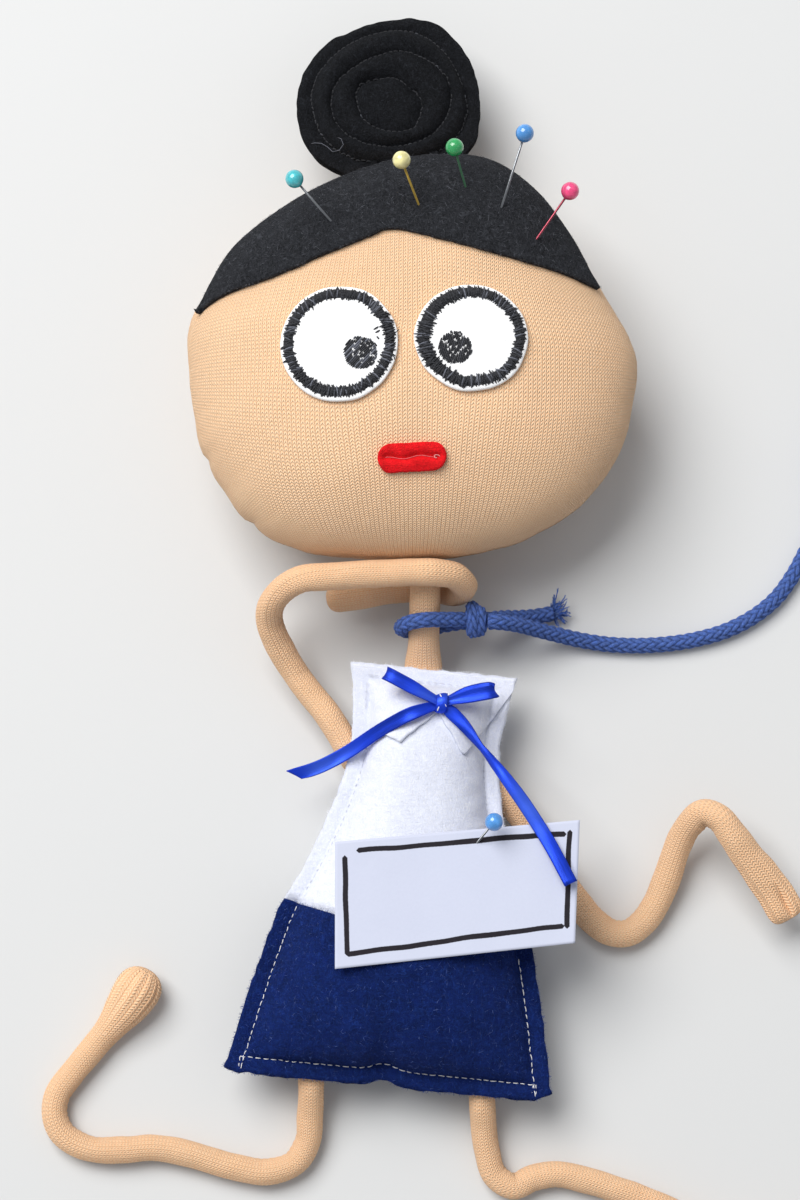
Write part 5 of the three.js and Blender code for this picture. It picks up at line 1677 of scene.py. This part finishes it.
def rim_ripple(angle):
    """How far the seam of the head is drawn in and out by its stitches, and pinched in two places."""
    x, y = 40 * math.cos(angle), 40 * math.sin(angle)
    degrees = math.degrees(angle)
    pinch = sum(
        deep * bell((degrees - at + 180) % 360 - 180, wide)
        for at, deep, wide in ((-151.5, 0.9, 1.3), (-132.5, 0.8, 1.5))
    )
    return 0.16 * ripple(x, y, 0, 3.4, 2) + 0.3 * ripple(x, y, 0, 9, 6) - pinch


def dome_form(front, inset, lumps=0.0):
    """The front or the back of the head, from a round dome; the cloth's columns run up the face."""
    form = bmesh.new()
    flat = cloth_place(form)
    bmesh.ops.create_uvsphere(form, u_segments=168, v_segments=84, radius=1)
    way = 1 if front else -1
    geometry = form.verts[:] + form.edges[:] + form.faces[:]
    bmesh.ops.bisect_plane(form, geom=geometry, plane_co=(0, 0, 0), plane_no=(0, 0, -way), clear_outer=True)
    for face in form.faces:
        face.smooth = True
        for loop in face.loops:
            x, y, z = loop.vert.co
            across = math.hypot(x, y)
            arc = math.acos(clamp(abs(z))) / across if across > 1e-4 else 1
            loop[flat].uv = (y * arc * 42.0, x * arc * 44.0)
    for vert in form.verts:
        x, y, _ = vert.co
        share = min(1.0, math.hypot(x, y))
        angle = math.atan2(y, x)
        reach = (head_reach(angle) - inset) * share + rim_ripple(angle) * share**14
        plan_x, plan_y = reach * math.cos(angle), reach * math.sin(angle)
        rough = lumps * ripple(plan_x, plan_y, way * 9, 5, 4)
        shift = 3 * ripple(plan_x, plan_y, 0, 12, 1)
        pucker = 0.24 * share**6 * (1 - share**40) * math.sin(angle * 74 + shift)
        if front:
            soft = face_height(plan_x, plan_y) - HEAD_LOFT * pillow(share) - 0.15 if share < 0.999 else 0
            z = (HEAD_LOFT - inset) * pillow(share) + 0.15 + clamp(soft, -0.7, 0.7) * (1 - share**5)
            z = z + pucker + rough
        else:
            z = max(-(HEAD_DEPTH - inset) * pillow(share) - 0.15 - pucker - rough, inset - HEAD_CENTRE.z)
        vert.co = (plan_x, plan_y, z)
    return form


class BuildHead(bpy.types.Operator):
    """Sew the head, an oval cushion of jersey, and fill it"""

    bl_idname = "stress_doll.head"
    bl_label = "Head"

    def execute(self, context):
        for name, node, front in (("face_jersey", "face_panel", True), ("back_jersey", "head_back", False)):
            form = face_up(dome_form(front, 0.0), (0, 0, 1 if front else -1))
            panel = dress(name, form, [jersey()], "peach_jersey", (node,), place=HEAD_PLACE)
            thicken(panel, sizes().jersey)
        filling = dome_form(True, 2.0, 0.25)
        mesh = mesh_of("half", dome_form(False, 2.0, 0.25))
        filling.from_mesh(mesh)
        bpy.data.meshes.remove(mesh)
        bmesh.ops.remove_doubles(filling, verts=filling.verts[:], dist=0.8)
        filling = closed(filling)
        fill = dress("head_wadding", filling, [wadding()], "wadding", ("head_stuffing",), place=HEAD_PLACE)
        return {"FINISHED"}


HAIRLINE = [
    (-49.9, 8.3), (-40.4, 10.6), (-29.3, 13.6), (-18.3, 18.2), (-9.5, 21.7), (-6.1, 23.2), (-2.6, 23.2),
    (2.8, 21.9), (14.4, 18.8), (24.6, 16.5), (34.5, 14.3), (41.0, 12.5),
]
HAIR_THICKNESS = 1.05
HAIR_COLUMNS = 260
HAIR_ROWS = 64


def over_face(x, y, lift):
    """The point a distance out from the face, over a place in plan."""
    step = 0.05
    slope_x = (face_height(x + step, y) - face_height(x - step, y)) / (2 * step)
    slope_y = (face_height(x, y + step) - face_height(x, y - step)) / (2 * step)
    normal = Vector((-slope_x, -slope_y, 1)).normalized()
    return Vector((x, y, face_height(x, y))) + normal * lift


class BuildHair(bpy.types.Operator):
    """Cut the hair from one piece of black felt and lay it over the top of the face"""

    bl_idname = "stress_doll.hair"
    bl_label = "Hair"

    def execute(self, context):
        low_edge = [Vector((x, y, 0)) for x, y in HAIRLINE]
        first = math.atan2(low_edge[0].y, low_edge[0].x) % TURN
        low_edge[0] *= 0.953 * head_reach(first) / low_edge[0].length
        hairline = Route(low_edge)
        first -= 0.004
        last = math.atan2(HAIRLINE[-1][1], HAIRLINE[-1][0]) % TURN + 0.004
        left_tip = 0.046 * head_reach(first)
        right_tip = head_reach(last) - math.hypot(*HAIRLINE[-1])

        def place(u, v):
            low = hairline.at(u * hairline.length)
            angle = mix(first, last, u)
            inset = 1.5 + (left_tip - 1.5) * (1 - ease(u, 0, 0.1))
            inset += 0.55 * bell(u - 0.07, 0.05)
            inset += 0.3 * ease(u, 0.6, 0.85) + (right_tip - 1.8) * ease(u, 0.86, 0.995)
            far = head_reach(angle) - inset
            rim = Vector((far * math.cos(angle), far * math.sin(angle), 0))
            flat = low.lerp(rim, math.sin(v * math.pi / 2))
            inside = 0.966 * head_reach(math.atan2(flat.y, flat.x))
            if flat.length > inside:
                flat *= inside / flat.length
            edge = 1 - ease(v, 0, 0.04)
            x = flat.x + 0.07 * edge * ripple(flat.x, flat.y, 0, 2.4, 1)
            y = flat.y + 0.09 * edge * ripple(flat.x, flat.y, 0, 2.4, 2)
            crease = bell(x + 4.9 + 0.02 * (y - 25), 0.55) * ease(y, 24, 27)
            crease *= 1 - ease(y, 40, 46)
            rise = 0.16 * ease(x + 4.9, -3, 0) * (1 - ease(x + 4.9, 0, 5)) * ease(y, 24, 27)
            soft = 0.22 * ripple(x, y, 0, 6, 9) * ease(v, 0, 0.2) * (1 - ease(v, 0.8, 1))
            pressed = 0.28 * (1 - ease(u, 0, 0.05))
            return over_face(x, y, 1.35 - pressed - 0.3 * crease + rise + soft)

        form = face_up(cloth_form(HAIR_COLUMNS, HAIR_ROWS, place))
        lint = fuzz(form, 1500, 800, 31, 1.4)
        dress("hair_fibres", lint, [black_lint()], "black_felt", (), "head", HEAD_PLACE)
        hair = dress("hair_felt", form, [black_felt()], "black_felt", ("hair",), place=HEAD_PLACE)
        thicken(hair, HAIR_THICKNESS * MM)
        return {"FINISHED"}


# Eyes and mouth

# From the middle of a patch out, over its cut edge and back underneath
ROUNDED_EDGE = [
    (0, 1), (0.2, 1), (0.4, 1), (0.6, 1), (0.78, 1), (0.9, 1), (0.955, 0.99), (0.98, 0.93), (0.993, 0.8),
    (1, 0.55), (1, 0.25), (0.99, 0), (0.7, 0), (0.35, 0), (0, 0),
]


def on_face(x, y, thick):
    """Height of a patch on the face: its underside for thick 0, its top for thick 1."""
    return face_height(x, y, 0.3) + thick


class BuildEyes(bpy.types.Operator):
    """Sew the eyes: felt rounds, each with a satin-stitched ring and a stitched pupil"""

    bl_idname = "stress_doll.eyes"
    bl_label = "Eyes"

    def execute(self, context):
        width = mm(sizes().ring_width)
        left = {"x": -16.1, "y": -2.9, "wide": 12.9, "high": 12.9, "seed": 1.0, "thick_left": 0.0}
        right = {"x": 12.8, "y": -1.5, "wide": 12.5, "high": 12.0, "seed": 5.0, "thick_left": 0.3}
        self.eye("left", left, width, (4.6, -2.3), True)
        self.eye("right", right, width, (-3.6, -2.5), False)
        return {"FINISHED"}

    def eye(self, name, eye, width, pupil, dense):
        seed = eye["seed"]

        def reach(angle):
            oval = 1 / math.hypot(math.cos(angle) / eye["wide"], math.sin(angle) / eye["high"])
            return oval + 0.2 * ripple(12 * math.cos(angle), 12 * math.sin(angle), 0, 5, seed)

        form = round_form((eye["x"], eye["y"]), reach, ROUNDED_EDGE, on_face, 120)
        node = name + "_eye"
        dress(name + "_eye_felt", closed(form), [eye_felt()], "white_felt", (node,), place=HEAD_PLACE)

        def ring_at(angle, share):
            """A point on the ring, from its inside (0) to its outside (1)."""
            wander = 0.16 * ripple(10 * math.cos(angle), 10 * math.sin(angle), 4, 3, seed)
            outer = reach(angle) - 0.5 - 0.28 * max(0.0, -math.sin(angle)) + wander * 0.6
            wide = width * (1 + eye["thick_left"] * max(0.0, -math.cos(angle))) + wander * 0.8
            far = outer - wide * (1 - share)
            x = eye["x"] + far * math.cos(angle)
            y = eye["y"] + far * math.sin(angle)
            return Vector((x, y, on_face(x, y, 1)))

        rng = random.Random(int(seed * 10))

        def bed(u, v):
            arch = Vector((0, 0, 0.42 * math.sin(math.pi * v) - 0.06))
            return ring_at(TURN * u, 0.06 + 0.88 * v) + arch

        ring = cloth_form(180, 8, bed, lambda u, v: (0.1, u * 60))
        count = 250
        for i in range(count):
            angle = TURN * (i + rng.uniform(-0.3, 0.3)) / count
            lean = rng.gauss(0, 0.035)
            low, high = rng.gauss(0.0, 0.09), 1 + rng.gauss(0, 0.075)
            rise = 0.5 + rng.uniform(-0.1, 0.14)
            points = []
            for step in range(5):
                share = step / 4
                point = ring_at(angle + lean * (share - 0.5) * 2, mix(low, high, share))
                arch = rise * math.sin(math.pi * share) ** 0.6
                points.append(point + Vector((0, 0, arch if 0 < step < 4 else -0.12)))
            thread(ring, points, rng.uniform(0.26, 0.38), rng.random() ** 1.2, 5, 3)
        self.fill_pupil(ring, rng, eye, pupil, dense)
        if dense:
            self.loose_ends(ring, rng)
        dress(name + "_eye_stitching", closed(ring), [black_thread()], "black_felt", (), "head", HEAD_PLACE)

    def fill_pupil(self, form, rng, eye, pupil, dense):
        """The pupil, rows of stitches side by side."""
        radius = mm(sizes().pupil)
        x0, y0 = eye["x"] + pupil[0], eye["y"] + pupil[1]
        steep = math.radians(48 if dense else 74)
        ahead = Vector((math.cos(steep), math.sin(steep)))
        aside = Vector((-ahead.y, ahead.x))
        pitch = 0.4 if dense else 0.39
        rows = int(2 * radius / pitch)
        for row in range(rows + 1):
            off = -radius + pitch * (row + 0.15)
            half = math.sqrt(max(0.0, radius**2 - off**2)) * rng.uniform(0.93, 1.05)
            if half < 0.4:
                continue
            start = -half
            while start < half - 0.3:
                length = min(rng.uniform(1.7, 4.2), half - start)
                points = []
                for share in (0, 0.3, 0.7, 1):
                    run = start + length * share
                    jog = rng.uniform(-0.05, 0.05)
                    x = x0 + ahead.x * run + aside.x * (off + jog)
                    y = y0 + ahead.y * run + aside.y * (off + jog)
                    arch = 0.16 if 0 < share < 1 else -0.08
                    points.append(Vector((x, y, on_face(x, y, 1) + arch)))
                tone = rng.random() if dense else rng.random() * 0.8
                thread(form, points, 0.42, tone, 5, 3)
                start += length + rng.uniform(0.06, 0.22 if dense else 0.3)

    def loose_ends(self, form, rng):
        """Stray stitches between the ring and the pupil, and ends that stick out."""

        def spot(x, y, rise):
            return Vector((x, y, on_face(x, y, 1) + rise))

        strays = [
            ((-8.6, -0.1), (-7.5, 0.6)), ((-8.2, -0.8), (-7.2, -0.2)), ((-8.4, -3.0), (-7.9, -3.8)),
            ((-7.9, -1.6), (-7.4, -2.2)),
        ]
        for (xa, ya), (xb, yb) in strays:
            middle = spot((xa + xb) / 2, (ya + yb) / 2, 0.2)
            thread(form, [spot(xa, ya, -0.1), middle, spot(xb, yb, -0.1)], 0.34, rng.random() * 0.7)
        thread(form, [spot(-4.4, -1.2, 0.3), spot(-3.6, -0.8, 0.9), spot(-3.0, -0.1, 0.7)], 0.22, 0.3)
        thread(form, [spot(-4.9, -5.6, 0.3), spot(-4.2, -6.2, 0.9), spot(-3.9, -7.0, 0.5)], 0.22, 0.3)


class BuildMouth(bpy.types.Operator):
    """Sew the mouth, red felt held down by one line of thread"""

    bl_idname = "stress_doll.mouth"
    bl_label = "Mouth"

    def execute(self, context):
        x0, y0 = -0.2, -27.8
        straight, radius, turn = 4.5, 3.05, math.radians(3)

        def reach(angle):
            across = abs(math.cos(angle - turn))
            up = abs(math.sin(angle - turn))
            flat_side = radius / up if up > 1e-6 else 1e9
            if flat_side * across <= straight:
                far = flat_side
            else:
                far = straight * across + math.sqrt(max(0, radius**2 - (straight * up) ** 2))
            return far + 0.12 * ripple(8 * math.cos(angle), 8 * math.sin(angle), 0, 2.6, 3)

        def height(x, y, thick):
            along = (x - x0) * math.cos(turn) + (y - y0) * math.sin(turn)
            aside = (y - y0) * math.cos(turn) - (x - x0) * math.sin(turn) - 0.3 * math.sin(along * 0.9)
            groove = 0.72 * bell(aside, 0.62) * (1 - ease(abs(along), 5.6, 6.8))
            puff = 0.35 * bell(abs(aside) - 1.7, 1.1)
            return on_face(x, y, thick) + (puff - groove) * thick

        profile = [(i / 26 * 0.95, 1) for i in range(27)] + ROUNDED_EDGE[7:]
        form = closed(round_form((x0, y0), reach, profile, height, 132))
        dress("mouth_felt", form, [red_felt()], "red_felt", ("mouth",), place=HEAD_PLACE)
        sewn = bmesh.new()
        line = []
        for along in even(-5.9, 5.4, 0.9):
            x = x0 + along * math.cos(turn) - 0.3 * math.sin(along * 0.9) * math.sin(turn)
            y = y0 + along * math.sin(turn) + 0.3 * math.sin(along * 0.9)
            line.append(Vector((x, y, height(x, y, 1) + 0.14)))
        thread(sewn, line, 0.2, 0.6, 6, 8)
        end = line[-1]
        for start, wide in ((2.4, 0.5), (0.2, 0.75)):
            turns = [start + 0.8 * i for i in range(4)]
            curl = [
                end + Vector((wide * math.cos(a), 0.6 * wide * math.sin(a), 0.2 + 0.1 * a)) for a in turns
            ]
            thread(sewn, curl, 0.17, 0.95, 6, 4)
        dress("mouth_stitch", closed(sewn), [pink_thread()], "white_felt", (), "head", HEAD_PLACE)
        return {"FINISHED"}


# Bun

BUN_PLACE = Matrix.Translation((-2.99, 180.41, 17.91)) @ Matrix.Rotation(math.radians(-11), 4, "X")
BUN_OUTLINE = [
    20.3, 20.3, 20.6, 21.0, 22.0, 21.4, 20.4, 19.8, 19.7, 20.6, 20.8, 21.3,
    21.8, 22.3, 22.9, 23.2, 22.6, 21.6, 21.2, 21.2, 21.6, 22.4, 22.3, 21.1,
]
BUN_OUTER = [
    17.1, 16.4, 16.4, 16.8, 17.3, 17.5, 17.2, 16.8, 16.7, 16.9, 17.3, 18.0,
    18.4, 18.4, 18.8, 18.9, 18.4, 17.8, 17.6, 17.6, 17.8, 18.2, 18.3, 18.0,
]
BUN_SECOND = [
    13.8, 13.5, 12.8, 12.2, 11.7, 11.5, 11.0, 10.4, 10.5, 10.7, 11.5, 12.7,
    13.6, 14.3, 14.8, 14.8, 14.4, 14.0, 13.8, 13.8, 14.0, 14.2, 14.1, 14.0,
]
BUN_INNER = [
    5.9, 4.5, 4.0, 4.0, 3.9, 4.0, 4.1, 4.3, 4.4, 5.0, 6.3, 7.6,
    8.1, 8.2, 8.5, 9.2, 9.5, 9.7, 9.9, 10.2, 10.4, 9.1, 8.1, 7.1,
]
STRAY_THREAD = [
    (-18.3, -13.4, 3.4), (-16.6, -13.6, 4.2), (-14.8, -14.6, 4.4), (-13.3, -16.0, 4.2), (-11.9, -15.8, 4.6),
    (-11.0, -14.7, 4.8), (-11.1, -13.3, 4.9), (-12.2, -12.5, 4.6),
]


def around(radii, angle):
    """A radius at an angle, from 24 radii round a full turn, with a smooth step between them."""
    spot = (angle % TURN) / TURN * 24
    i = int(spot) % 24
    return mix(radii[i], radii[(i + 1) % 24], ease(spot - int(spot), 0, 1))


def bun_height(far, angle):
    """Height of the quilted felt at a distance from the middle of the bun."""
    inner, second, outer, rim = (around(r, angle) for r in (BUN_INNER, BUN_SECOND, BUN_OUTER, BUN_OUTLINE))
    if far < inner:
        return mix(1.1, 3.6, math.cos(far / inner * math.pi / 2) ** 0.6)
    if far < second:
        return 1.1 + 2.4 * math.sin(math.pi * (far - inner) / (second - inner)) ** 0.62
    if far < outer:
        share = (far - second) / (outer - second)
        return mix(1.1, 0, share) + 2.2 * math.sin(math.pi * share) ** 0.62
    share = clamp((far - outer) / max(rim - outer, 0.1))
    return 0.5 * math.sin(math.pi * share) - 0.15 * share


def clear_of_head(point):
    """Moves a point of the bun up until it is outside the head's edge."""
    world = BUN_PLACE @ point
    local = world - HEAD_CENTRE

    def inside(y):
        return math.hypot(local.x, y) < head_reach(math.atan2(y, local.x)) + 1.9

    if not inside(local.y):
        return point
    low, high = local.y, local.y + 24
    for _ in range(16):
        middle = (low + high) / 2
        low, high = (middle, high) if inside(middle) else (low, middle)
    local.y = high
    return BUN_PLACE.inverted() @ (local + HEAD_CENTRE)


class BuildBun(bpy.types.Operator):
    """Quilt the bun, two rounds of black felt over wadding"""

    bl_idname = "stress_doll.bun"
    bl_label = "Bun"

    def execute(self, context):
        for name, node, way in (("bun_front_felt", "bun_front", 1), ("bun_back_felt", "bun_back", -1)):
            form = face_up(self.panel(way), (0, 0, way))
            panel = dress(name, form, [bun_felt()], "black_felt", (node,), place=BUN_PLACE)
            thicken(panel, sizes().felt)
        fill = self.filling()
        fill = dress("bun_filling", fill, [wadding()], "wadding", ("bun_wadding",), place=BUN_PLACE)
        self.quilting()
        return {"FINISHED"}

    def filling(self):
        """A flat lump of wadding between the two rounds."""
        fill = bmesh.new()
        bmesh.ops.create_uvsphere(fill, u_segments=64, v_segments=40, radius=1)
        for vert in fill.verts:
            x, y, z = vert.co
            angle = math.atan2(y, x)
            far = min(1.0, math.hypot(x, y)) * (around(BUN_OUTER, angle) - 0.7)
            height = max(0.15, bun_height(far, angle) - 0.35) * math.copysign(min(1, abs(z) * 2.4), z)
            height += 0.1 * ripple(x, y, z, 0.3, 2)
            vert.co = clear_of_head(Vector((far * math.cos(angle), far * math.sin(angle), height)))
        return closed(fill)

    def panel(self, way):
        """A quilted round: the front for way 1, the back for way -1."""

        def place(u, v):
            angle = TURN * u
            edge_x, edge_y = 20 * math.cos(angle), 20 * math.sin(angle)
            rim = around(BUN_OUTLINE, angle) + 0.12 * ripple(edge_x, edge_y, way, 2.2, 2)
            far = rim * v
            height = bun_height(far, angle) + 0.15 + 1.0
            height += 0.2 * ripple(far * math.cos(angle), far * math.sin(angle), way * 5, 3.5, 4)
            point = Vector((far * math.cos(angle), far * math.sin(angle), way * height))
            return clear_of_head(point)

        return cloth_form(200, 110, place)

    def quilting(self):
        """Rings of black stitching in the valleys, sewn by hand."""
        rng = random.Random(21)
        sewn = bmesh.new()
        for radii in (BUN_INNER, BUN_SECOND, BUN_OUTER):
            for way in (1, -1):
                angle = rng.uniform(0, 0.2)
                while angle < TURN:
                    radius = around(radii, angle)
                    step = 0.95 / radius
                    points = []
                    for share in (0, 0.5, 1):
                        turn = angle + step * share
                        far = around(radii, turn) + rng.uniform(-0.12, 0.12)
                        height = bun_height(far, turn) + 1.15 + (0.2 if share == 0.5 else -0.05)
                        points.append(Vector((far * math.cos(turn), far * math.sin(turn), way * height)))
                    if all((clear_of_head(p) - p).length < 1e-6 for p in points):
                        thread(sewn, points, 0.34, rng.random() * 0.78)
                    angle += step * rng.uniform(1.15, 1.4)
        thread(sewn, STRAY_THREAD, 0.11, 1.0, 5, 6)
        dress("bun_quilting", closed(sewn), [black_thread()], "black_felt", (), "bun", BUN_PLACE)


# Pins

SHAFT_LENGTH = 36.0
POINT_LENGTH = 5


def slide_of(body):
    """The direction in which a pin is pulled out."""
    for joint in frame["joints"]:
        if joint["child"] == body:
            return Vector(joint["axis"]).normalized()
    raise ValueError("no joint moves " + body)


class BuildPins(bpy.types.Operator):
    """Make the pearl-headed pins"""

    bl_idname = "stress_doll.pins"
    bl_label = "Pins"

    def execute(self, context):
        steel = tint("9A9DA2")
        # The cream, green and pink pins' shafts are tinted with a painted reflection of their beads; the others
        # are plain steel
        pins = (
            ("teal", colours().teal, steel), ("cream", colours().cream, tint("D9B65A")),
            ("green", colours().green, tint("5E8C6C")), ("blue", colours().blue, steel),
            ("pink", colours().pink, tint("A8505E")), ("card", colours().blue, steel),
        )
        for name, colour, steel_and_reflection in pins:
            low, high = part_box(name + "_pin_bead")
            centre = (low + high) / 2 / MM
            turn = slide_of(name + "_pin").to_track_quat("Z", "Y").to_matrix().to_4x4()
            place = Matrix.Translation(centre) @ turn
            shown = "blue" if name == "card" else name
            for piece, node, form, finish, slot in (
                ("_bead_pearl", "_pin_bead", self.bead(), pearl(shown, colour), shown + "_pearl"),
                ("_shaft_steel", "_pin_shaft", self.shaft(), pin_steel(shown, steel_and_reflection), "pin_steel"),
            ):
                dress(name + piece, form, [finish], slot, (name + node,), place=place)
        return {"FINISHED"}

    def bead(self):
        """A bead, a little flat on top, drawn in to a collar round the shaft."""
        radius = mm(sizes().bead_diameter) / 2
        form = bmesh.new()
        bmesh.ops.create_uvsphere(form, u_segments=40, v_segments=28, radius=radius)
        for vert in form.verts:
            x, y, z = vert.co
            if z > 0.9 * radius:
                vert.co.z = 0.9 * radius + (z - 0.9 * radius) * 0.8
            if z < -0.86 * radius:
                vert.co.x = x * 0.9
                vert.co.y = y * 0.9
                vert.co.z = z - 0.12
            vert.co *= 1 + 0.006 * math.sin(3 * math.atan2(y, x))
        return closed(form)

    def shaft(self):
        """A drawn wire with a ground point."""
        radius = mm(sizes().pin_diameter) / 2
        form = bmesh.new()
        bmesh.ops.create_cone(
            form, cap_ends=True, cap_tris=False, segments=18, radius1=radius, radius2=radius,
            depth=SHAFT_LENGTH, matrix=Matrix.Translation((0, 0, -SHAFT_LENGTH / 2)),
        )
        for above_tip in (POINT_LENGTH, 1.5):
            geometry = form.verts[:] + form.edges[:] + form.faces[:]
            cut = (0, 0, above_tip - SHAFT_LENGTH)
            bmesh.ops.bisect_plane(form, geom=geometry, plane_co=cut, plane_no=(0, 0, 1))
        for vert in form.verts:
            tip = clamp((POINT_LENGTH - SHAFT_LENGTH - vert.co.z) / POINT_LENGTH)
            narrow = mix(1, 0.12, tip**1.6)
            vert.co.x *= narrow
            vert.co.y *= narrow
        return closed(form)


# Stage, in metres and watts

CAMERA_PLACE = (-0.001, -0.04269, 0.6856)
CAMERA_TILT = math.radians(9)
WINDOW_PLACE = Vector((-0.84, 0.98, 1.80))
WINDOW_SIZE = 1.5
WINDOW_POWER = 57.0


class BuildStage(bpy.types.Operator):
    """Set the camera, the plain pale table and the soft light"""

    bl_idname = "stress_doll.stage"
    bl_label = "Camera, table and light"

    def execute(self, context):
        scene = context.scene
        camera = bpy.data.cameras.new("Camera")
        camera.lens = 90
        camera.sensor_width = 36
        camera.clip_start = 0.01
        scene.camera = in_scene("Camera", camera)
        scene.camera.location = CAMERA_PLACE
        scene.camera.rotation_euler = (CAMERA_TILT, 0, 0)

        form = bmesh.new()
        bmesh.ops.create_grid(form, x_segments=1, y_segments=1, size=2500)
        form.transform(Matrix.Scale(MM, 4))
        table = in_scene("Table", mesh_of("Table", form))
        table.data.materials.append(table_top())
        table.location.z = -0.0001

        self.window()
        scene.world = bpy.data.worlds.new("Room")
        scene.world.use_nodes = True
        light = scene.world.node_tree.nodes["Background"].inputs
        light["Color"].default_value = (0.94, 0.96, 1.0, 1)
        light["Strength"].default_value = 0.4
        scene.view_settings.view_transform = "Standard"
        return {"FINISHED"}

    def window(self):
        """A broad soft lamp at the upper left, turned towards the doll."""
        light = bpy.data.lights.new("Window", "AREA")
        light.size = WINDOW_SIZE
        light.energy = WINDOW_POWER
        light.color = (1.0, 0.99, 0.975)
        lamp = in_scene("Window", light)
        lamp.location = WINDOW_PLACE
        lamp.rotation_euler = (Vector((0, 0.06, 0)) - WINDOW_PLACE).to_track_quat("-Z", "Y").to_euler()



BUILDERS = (
    BuildStage, BuildCord, BuildKnot, BuildHead, BuildHair, BuildEyes, BuildMouth, BuildBun, BuildLimbs,
    BuildBody, BuildCollar, BuildRibbon, BuildCard, BuildPins,
)


class StressDollPanel(bpy.types.Panel):
    """Lists the doll's pieces, sizes and colours"""

    bl_idname = "VIEW3D_PT_stress_doll"
    bl_label = "Stress doll"
    bl_space_type = "VIEW_3D"
    bl_region_type = "UI"
    bl_category = "Stress doll"

    def draw(self, context):
        for builder in BUILDERS:
            self.layout.operator(builder.bl_idname)
        for group in (context.scene.stress_doll_sizes, context.scene.stress_doll_colours):
            box = self.layout.box()
            for name in group.bl_rna.properties.keys():
                if name not in ("rna_type", "name"):
                    box.prop(group, name)


CLASSES = (StressDollSizes, StressDollColours, *BUILDERS, StressDollPanel)


def register():
    for cls in CLASSES:
        bpy.utils.register_class(cls)
    bpy.types.Scene.stress_doll_sizes = PointerProperty(type=StressDollSizes)
    bpy.types.Scene.stress_doll_colours = PointerProperty(type=StressDollColours)


def unregister():
    del bpy.types.Scene.stress_doll_colours
    del bpy.types.Scene.stress_doll_sizes
    for cls in reversed(CLASSES):
        bpy.utils.unregister_class(cls)


def main():
    register()
    for builder in BUILDERS:
        group, name = builder.bl_idname.split(".")
        getattr(getattr(bpy.ops, group), name)()


if __name__ == "__main__":
    main()
